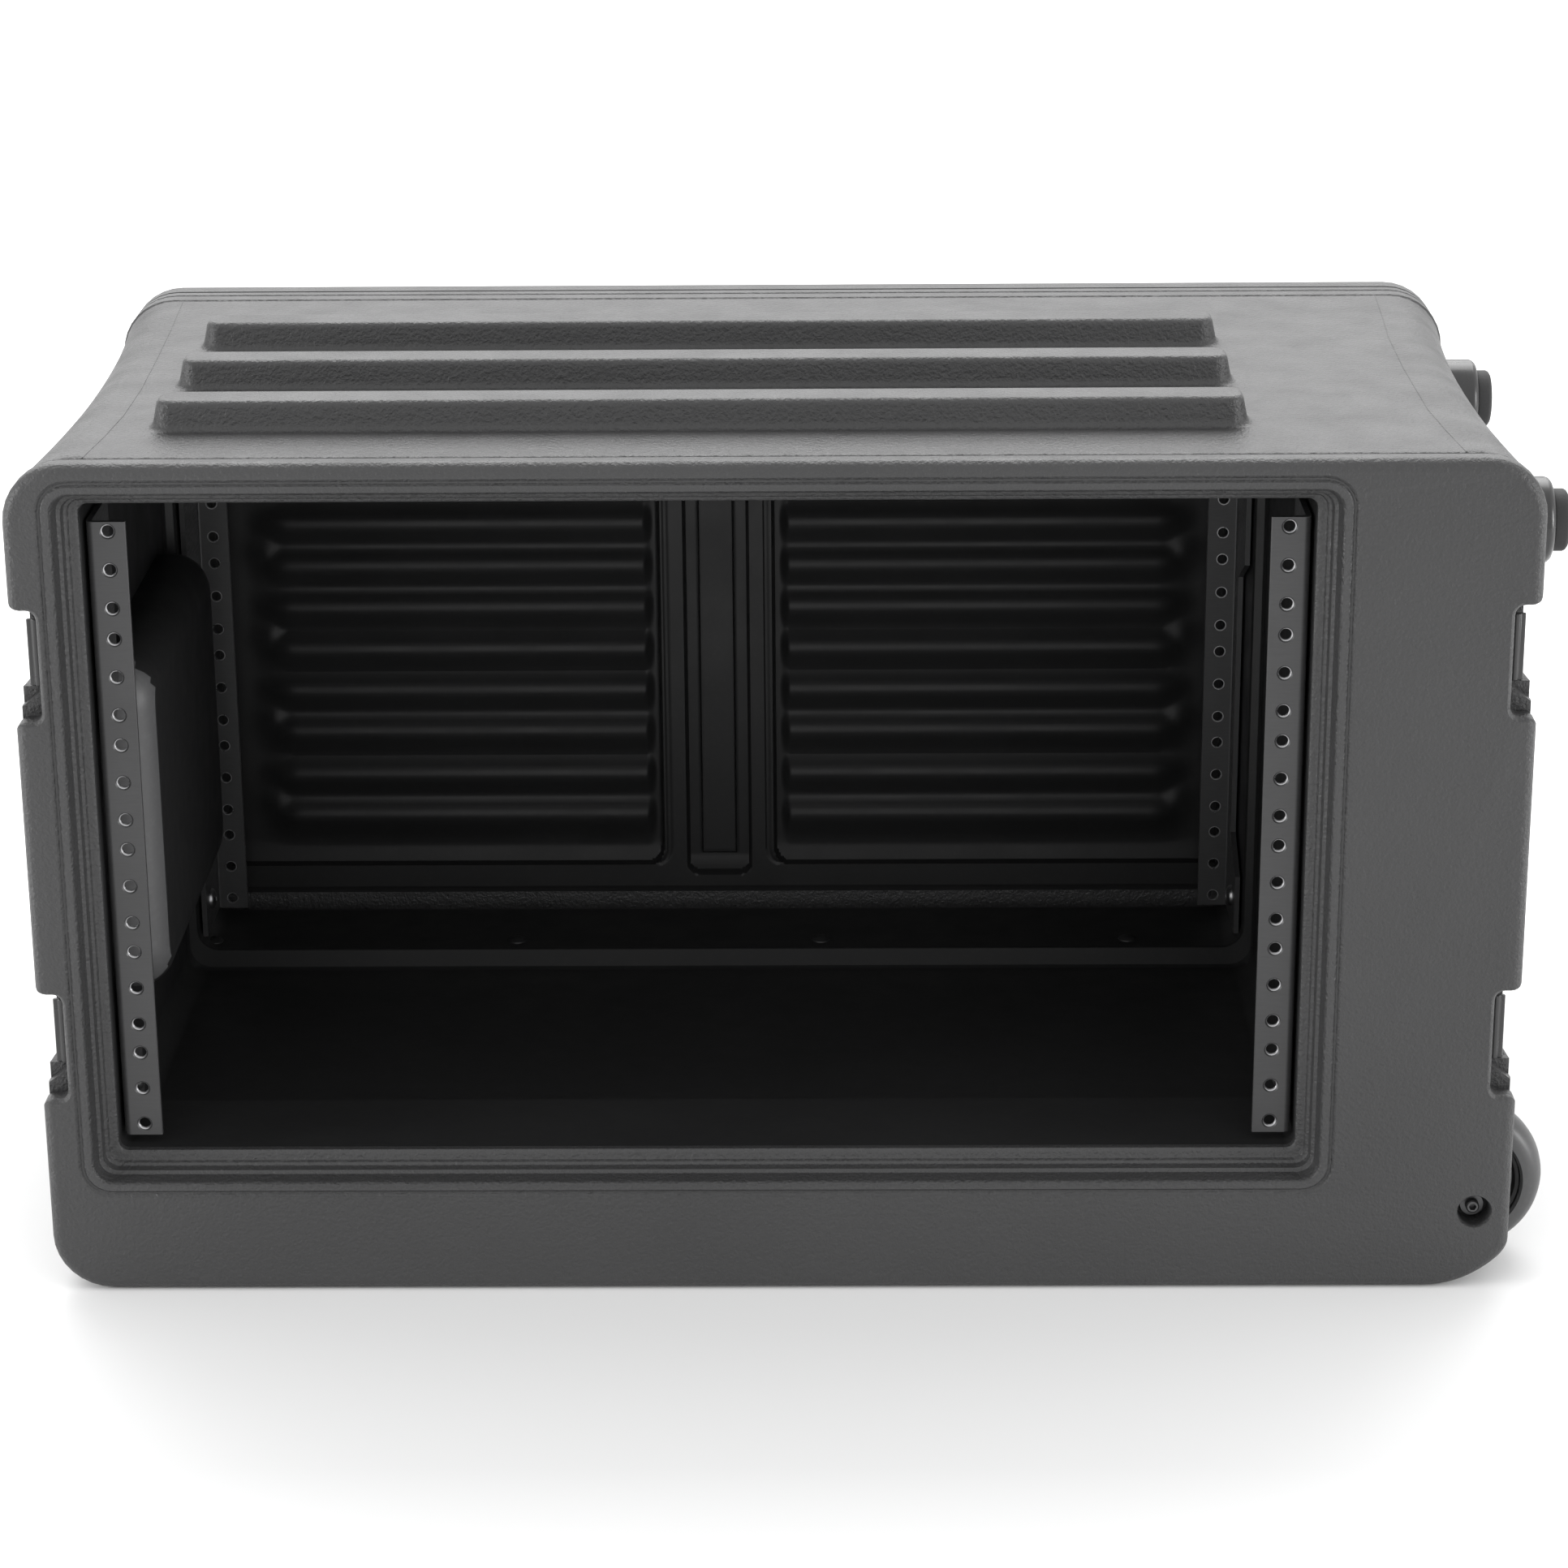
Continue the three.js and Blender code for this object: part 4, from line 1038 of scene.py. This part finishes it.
def wheel_fittings(end, x, z):
    """The two bearings of a wheel, its axle bolt with a hex socket, and the nut."""
    for part in ("bearing_outer", "bearing_inner"):
        low, high = bay_box(f"wheel_{end}_{part}")
        race = bearing(x, z, low.y, high.y)
        finish_piece(race, f"{part}_{end}", f"wheel_{end}", ZINC, [f"wheel_{end}_{part}"])
    low, high = bay_box(f"wheel_{end}_axle_bolt")
    head, tip, step = (low.y, high.y, 1) if end == "front" else (high.y, low.y, -1)
    shape = [(2.2, 0), (2.7, 0.4), (2.8, 3), (4.8, 3), (5.2, 3.5), (5.2, 6.4), (4, 6.4)]
    profile = [(r, head + step * along) for r, along in shape] + [(4, tip - step), (3.2, tip)]
    bolt = turned(profile, "y", x, z, 40)
    cut(bolt, rod("y", x, z, 1.6, head - step, head + 2.6 * step, 6))
    finish_piece(bolt, f"axle_{end}", "case", AXLE, [f"wheel_{end}_axle_bolt"])
    low, high = bay_box(f"wheel_{end}_axle_nut")
    nut = rod("y", x, z, 7.4, low.y, high.y, 6)
    cut(nut, rod("y", x, z, 4.05, low.y - 1, high.y + 1))
    soften(nut, 0.4)
    finish_piece(nut, f"axle_nut_{end}", "case", ZINC, [f"wheel_{end}_axle_nut"])


STEM_LENGTH = 8.3


def feet():
    """A flange on the right side with a rubber cap pressed into it, twice."""
    for end in ("front", "rear"):
        low, high = bay_box(f"foot_base_{end}")
        middle, r, face = (low + high) / 2, (high.y - low.y) / 2, high.x
        profile = [(r - 0.6, low.x), (r, low.x + 0.6), (r, face - 3), (r - 0.5, face - 1.6),
                   (r - 1.6, face - 0.5), (r - 3, face), (13.6, face), (13.2, face - 0.5), (4.2, face - 0.5)]
        base = turned(profile, "x", middle.y, middle.z, 72)
        cut(base, rod("x", middle.y, middle.z, 4, face - 9, face + 1, 40))
        finish_piece(base, f"foot_flange_{end}", "case", MOULDING, [f"foot_base_{end}"])
        low, high = bay_box(f"foot_cap_{end}")
        r, shoulder, face = (high.y - low.y) / 2, low.x + STEM_LENGTH, high.x
        profile = [(3.7, low.x), (3.7, shoulder), (r - 0.3, shoulder), (r, shoulder + 0.4), (r, face - 1.8),
                   (r - 0.5, face - 0.8), (r - 1.5, face - 0.15), (r - 2.6, face), (r - 4.6, face),
                   (r - 5, face - 0.5), (0.6, face - 0.5)]
        cap = turned(profile, "x", middle.y, middle.z, 72)
        finish_piece(cap, f"foot_pad_{end}", "case", RUBBER, [f"foot_cap_{end}"])


# ---- Handles -------------------------------------------------------------------------------------


WAVE_DEPTH = 0.9
TUBE_WALL = 1.5
# The carrying handle: from its middle to an eye, the rod's radius and bend, the pin, the sleeve
EYE_REACH, ROD_RADIUS, ROD_BEND, PIN_RADIUS = 71, 4, 12, 2
SLEEVE_RADIUS, SLEEVE_PLAIN, SLEEVE_RIDGES = 8, 8, 16


def tow_handle():
    """The grip, with finger waves along it, and the two tubes that it is fixed to."""
    low, high = bay_box("tow_grip")
    waves, steps, plain = 6, 6, 30
    span = (high.y - low.y - 2 * plain) / waves
    end_round = [(0, -2.5), (0.8, -1), (2.5, 0), (24, 0)]
    sections = [(low.y + y, grow) for y, grow in end_round]
    for turns in (k / steps for k in range(waves * steps + 1)):
        sections.append((low.y + plain + span * turns, -WAVE_DEPTH * (0.5 - 0.5 * math.cos(2 * math.pi * turns))))
    sections += [(high.y - y, grow) for y, grow in reversed(end_round)]
    grip = loft([at_y(rounded(low.x - g * 0.3, low.z - g, high.x + g, high.z + g, 6 + g, 6), y)
                 for y, g in sections])
    for end in ("front", "rear"):
        near, far = bay_box(f"tow_tube_{end}")
        y, z = (near.y + far.y) / 2, (near.z + far.z) / 2
        cut(grip, rod("x", y, z, TOW_RADIUS + 0.3, near.x - 0.5, high.x + 2, 40))
        inner, outer = TOW_RADIUS - TUBE_WALL, TOW_RADIUS
        profile = [(inner, near.x), (outer, near.x), (outer, far.x - 0.4), (outer - 0.4, far.x), (inner, far.x)]
        tube = ring_of(profile, "x", y, z, 48)
        finish_piece(tube, f"pull_tube_{end}", "tow_handle", ALUMINIUM, [f"tow_tube_{end}"])
    finish_piece(grip, "pull_grip", "tow_handle", MOULDING, ["tow_grip"])


def bail_path(middle, z_eye, z_grip):
    """The rod's line in y and z, down from one eye, along the grip and up to the other."""
    y, bend = middle - EYE_REACH, ROD_BEND
    points = [(y, z_eye), (y, z_eye - 15), (y, z_grip + bend)]
    points += [(y + bend - bend * math.cos(a), z_grip + bend - bend * math.sin(a))
               for a in (math.radians(15 * i) for i in range(1, 7))]
    return points + [(2 * middle - y, z) for y, z in reversed(points)]


def carry_handle():
    """The steel bail as a swept rod, with a ribbed rubber sleeve."""
    grip_low, grip_high = bay_box("carry_grip")
    bail_low, bail_high = bay_box("carry_bail")
    x, middle = (bail_low.x + bail_high.x) / 2, (bail_low.y + bail_high.y) / 2
    z_grip, z_eye = (grip_low.z + grip_high.z) / 2, bail_high.z - 5
    bail = loft(sweep(bail_path(middle, z_eye, z_grip), x, ROD_RADIUS, 24))
    for y, tip in ((middle - EYE_REACH, bail_low.y), (middle + EYE_REACH, bail_high.y)):
        add(bail, turned([(4.6, y - 3.5), (5, y - 3.1), (5, y + 3.1), (4.6, y + 3.5)], "y", x, z_eye, 32))
        first, last, r = min(y, tip), max(y, tip), PIN_RADIUS
        pin = [(r - 0.2, first), (r, first + 0.3), (r, last - 0.3), (r - 0.2, last)]
        add(bail, turned(pin, "y", x, z_eye, 24))
    finish_piece(bail, "carry_rod", "carry_handle", ZINC, ["carry_bail"])
    y0, y1, r = grip_low.y, grip_high.y, SLEEVE_RADIUS
    end_round = [(r - 1.4, 0), (r - 0.3, 0.6), (r, 1.6), (r, 6)]
    outer = [(radius, y0 + y) for radius, y in end_round]
    span = (y1 - y0 - 2 * SLEEVE_PLAIN) / SLEEVE_RIDGES
    for y in (y0 + SLEEVE_PLAIN + span * k for k in range(SLEEVE_RIDGES)):
        outer += [(r, y), (r - 0.7, y + span * 0.2), (r - 0.7, y + span * 0.6), (r, y + span * 0.8)]
    outer += [(radius, y1 - y) for radius, y in reversed(end_round)]
    bore = ROD_RADIUS + 0.3
    sleeve = ring_of([(bore, y0), *outer, (bore, y1)], "y", x, z_grip, 48)
    finish_piece(sleeve, "carry_sleeve", "carry_handle", RUBBER, ["carry_grip"])


def sweep(points, x, radius, sides):
    """Circles across a flat path in y and z."""
    loops = []
    for i, (y, z) in enumerate(points):
        before, after = points[max(i - 1, 0)], points[min(i + 1, len(points) - 1)]
        along = Vector((0, after[0] - before[0], after[1] - before[1])).normalized()
        side = Vector((1, 0, 0))
        up = along.cross(side)
        loops.append([Vector((x, y, z)) + radius * (math.cos(a) * side + math.sin(a) * up)
                      for a in (2 * math.pi * k / sides for k in range(sides))])
    return loops


def seal():
    """The soft seal, with a rounded crown."""
    profile = [(253.6, -2.7), (256.9, -2.7), (256.9, -0.4), (256, 0.1), (254.5, 0.1), (253.6, -0.4)]
    loops = []
    for x, depth in profile:
        grow = x - 253.5
        loops.append(at_y(rounded(-x, -148 - grow, x, 149.7 + grow, 8, 6), REAR + depth))
    finish_piece(loft(loops, closed=True), "lid_seal", "case", RUBBER, ["rear_lid_gasket"])


# ---- Stage, lights and camera --------------------------------------------------------------------


# The stage and the lights are in metres, in the row frame
FLOOR_HALF = 9
FLOOR_GREY = 0.88
OVERHEAD, SIDE, BACKDROP, SURROUND = 47, 20, 340, 1.1


def stage():
    """A wide pale floor just under the case."""
    h = FLOOR_HALF
    floor = mesh_object("floor", [(-h, -h, 0), (h, -h, 0), (h, h, 0), (-h, h, 0)], [(0, 1, 2, 3)])
    floor.data.materials.append(Nodes("floor").set(Base_Color=(*[FLOOR_GREY] * 3, 1), Roughness=0.9))
    floor.location.z = -0.0005


def area_light(name, place, aim, size, power):
    data = bpy.data.lights.new(name, "AREA")
    data.shape = "RECTANGLE"
    data.size, data.size_y = size
    data.energy = power
    light = bpy.data.objects.new(name, data)
    bpy.context.scene.collection.objects.link(light)
    light.location = place
    light.rotation_euler = (Vector(aim) - Vector(place)).to_track_quat("-Z", "Y").to_euler()


def lights():
    area_light("overhead", (0, 1.3, 2.0), (0, 0.1, 0.3), (2.8, 1.4), OVERHEAD)
    for name, side in (("side_right", 1), ("side_left", -1)):
        area_light(name, (2.2 * side, -0.75, 0.55), (0, 0, 0.2), (0.5, 0.9), SIDE)
    area_light("backdrop", (0, 7, 3.4), (0, 7.5, 0), (9, 5), BACKDROP)
    world = bpy.data.worlds.new("studio")
    bpy.context.scene.world = world
    world.use_nodes = True
    world.node_tree.nodes["Background"].inputs["Color"].default_value = (1, 1, 1, 1)
    world.node_tree.nodes["Background"].inputs["Strength"].default_value = SURROUND
    bpy.context.scene.view_settings.view_transform = "Standard"


# Where the photographer's camera stood, in the bay's frame, and how it was turned, in degrees
CAMERA_PLACE = (53.1, -1552.4, 557.5)
CAMERA_TURN, CAMERA_DOWN, CAMERA_ROLL = 0.733, 19.069, -0.436
SENSOR, LENS = 36, 93.93


def turn_about(axis, degrees):
    return Matrix.Rotation(math.radians(degrees), 4, axis)


def camera():
    data = bpy.data.cameras.new("camera")
    data.sensor_width = SENSOR
    data.lens = LENS
    data.clip_end = 50
    cam = bpy.data.objects.new("camera", data)
    bpy.context.scene.collection.objects.link(cam)
    turn = turn_about("Z", CAMERA_TURN) @ turn_about("X", 90 - CAMERA_DOWN) @ turn_about("Z", CAMERA_ROLL)
    cam.matrix_world = Matrix.Translation(TO_ROW @ Vector(CAMERA_PLACE)) @ turn
    bpy.context.scene.camera = cam


body_shell()
rear_lid()
seal()
rails()
rail_bolts()
small_pieces()
wheels()
feet()
tow_handle()
carry_handle()
stage()
lights()
camera()
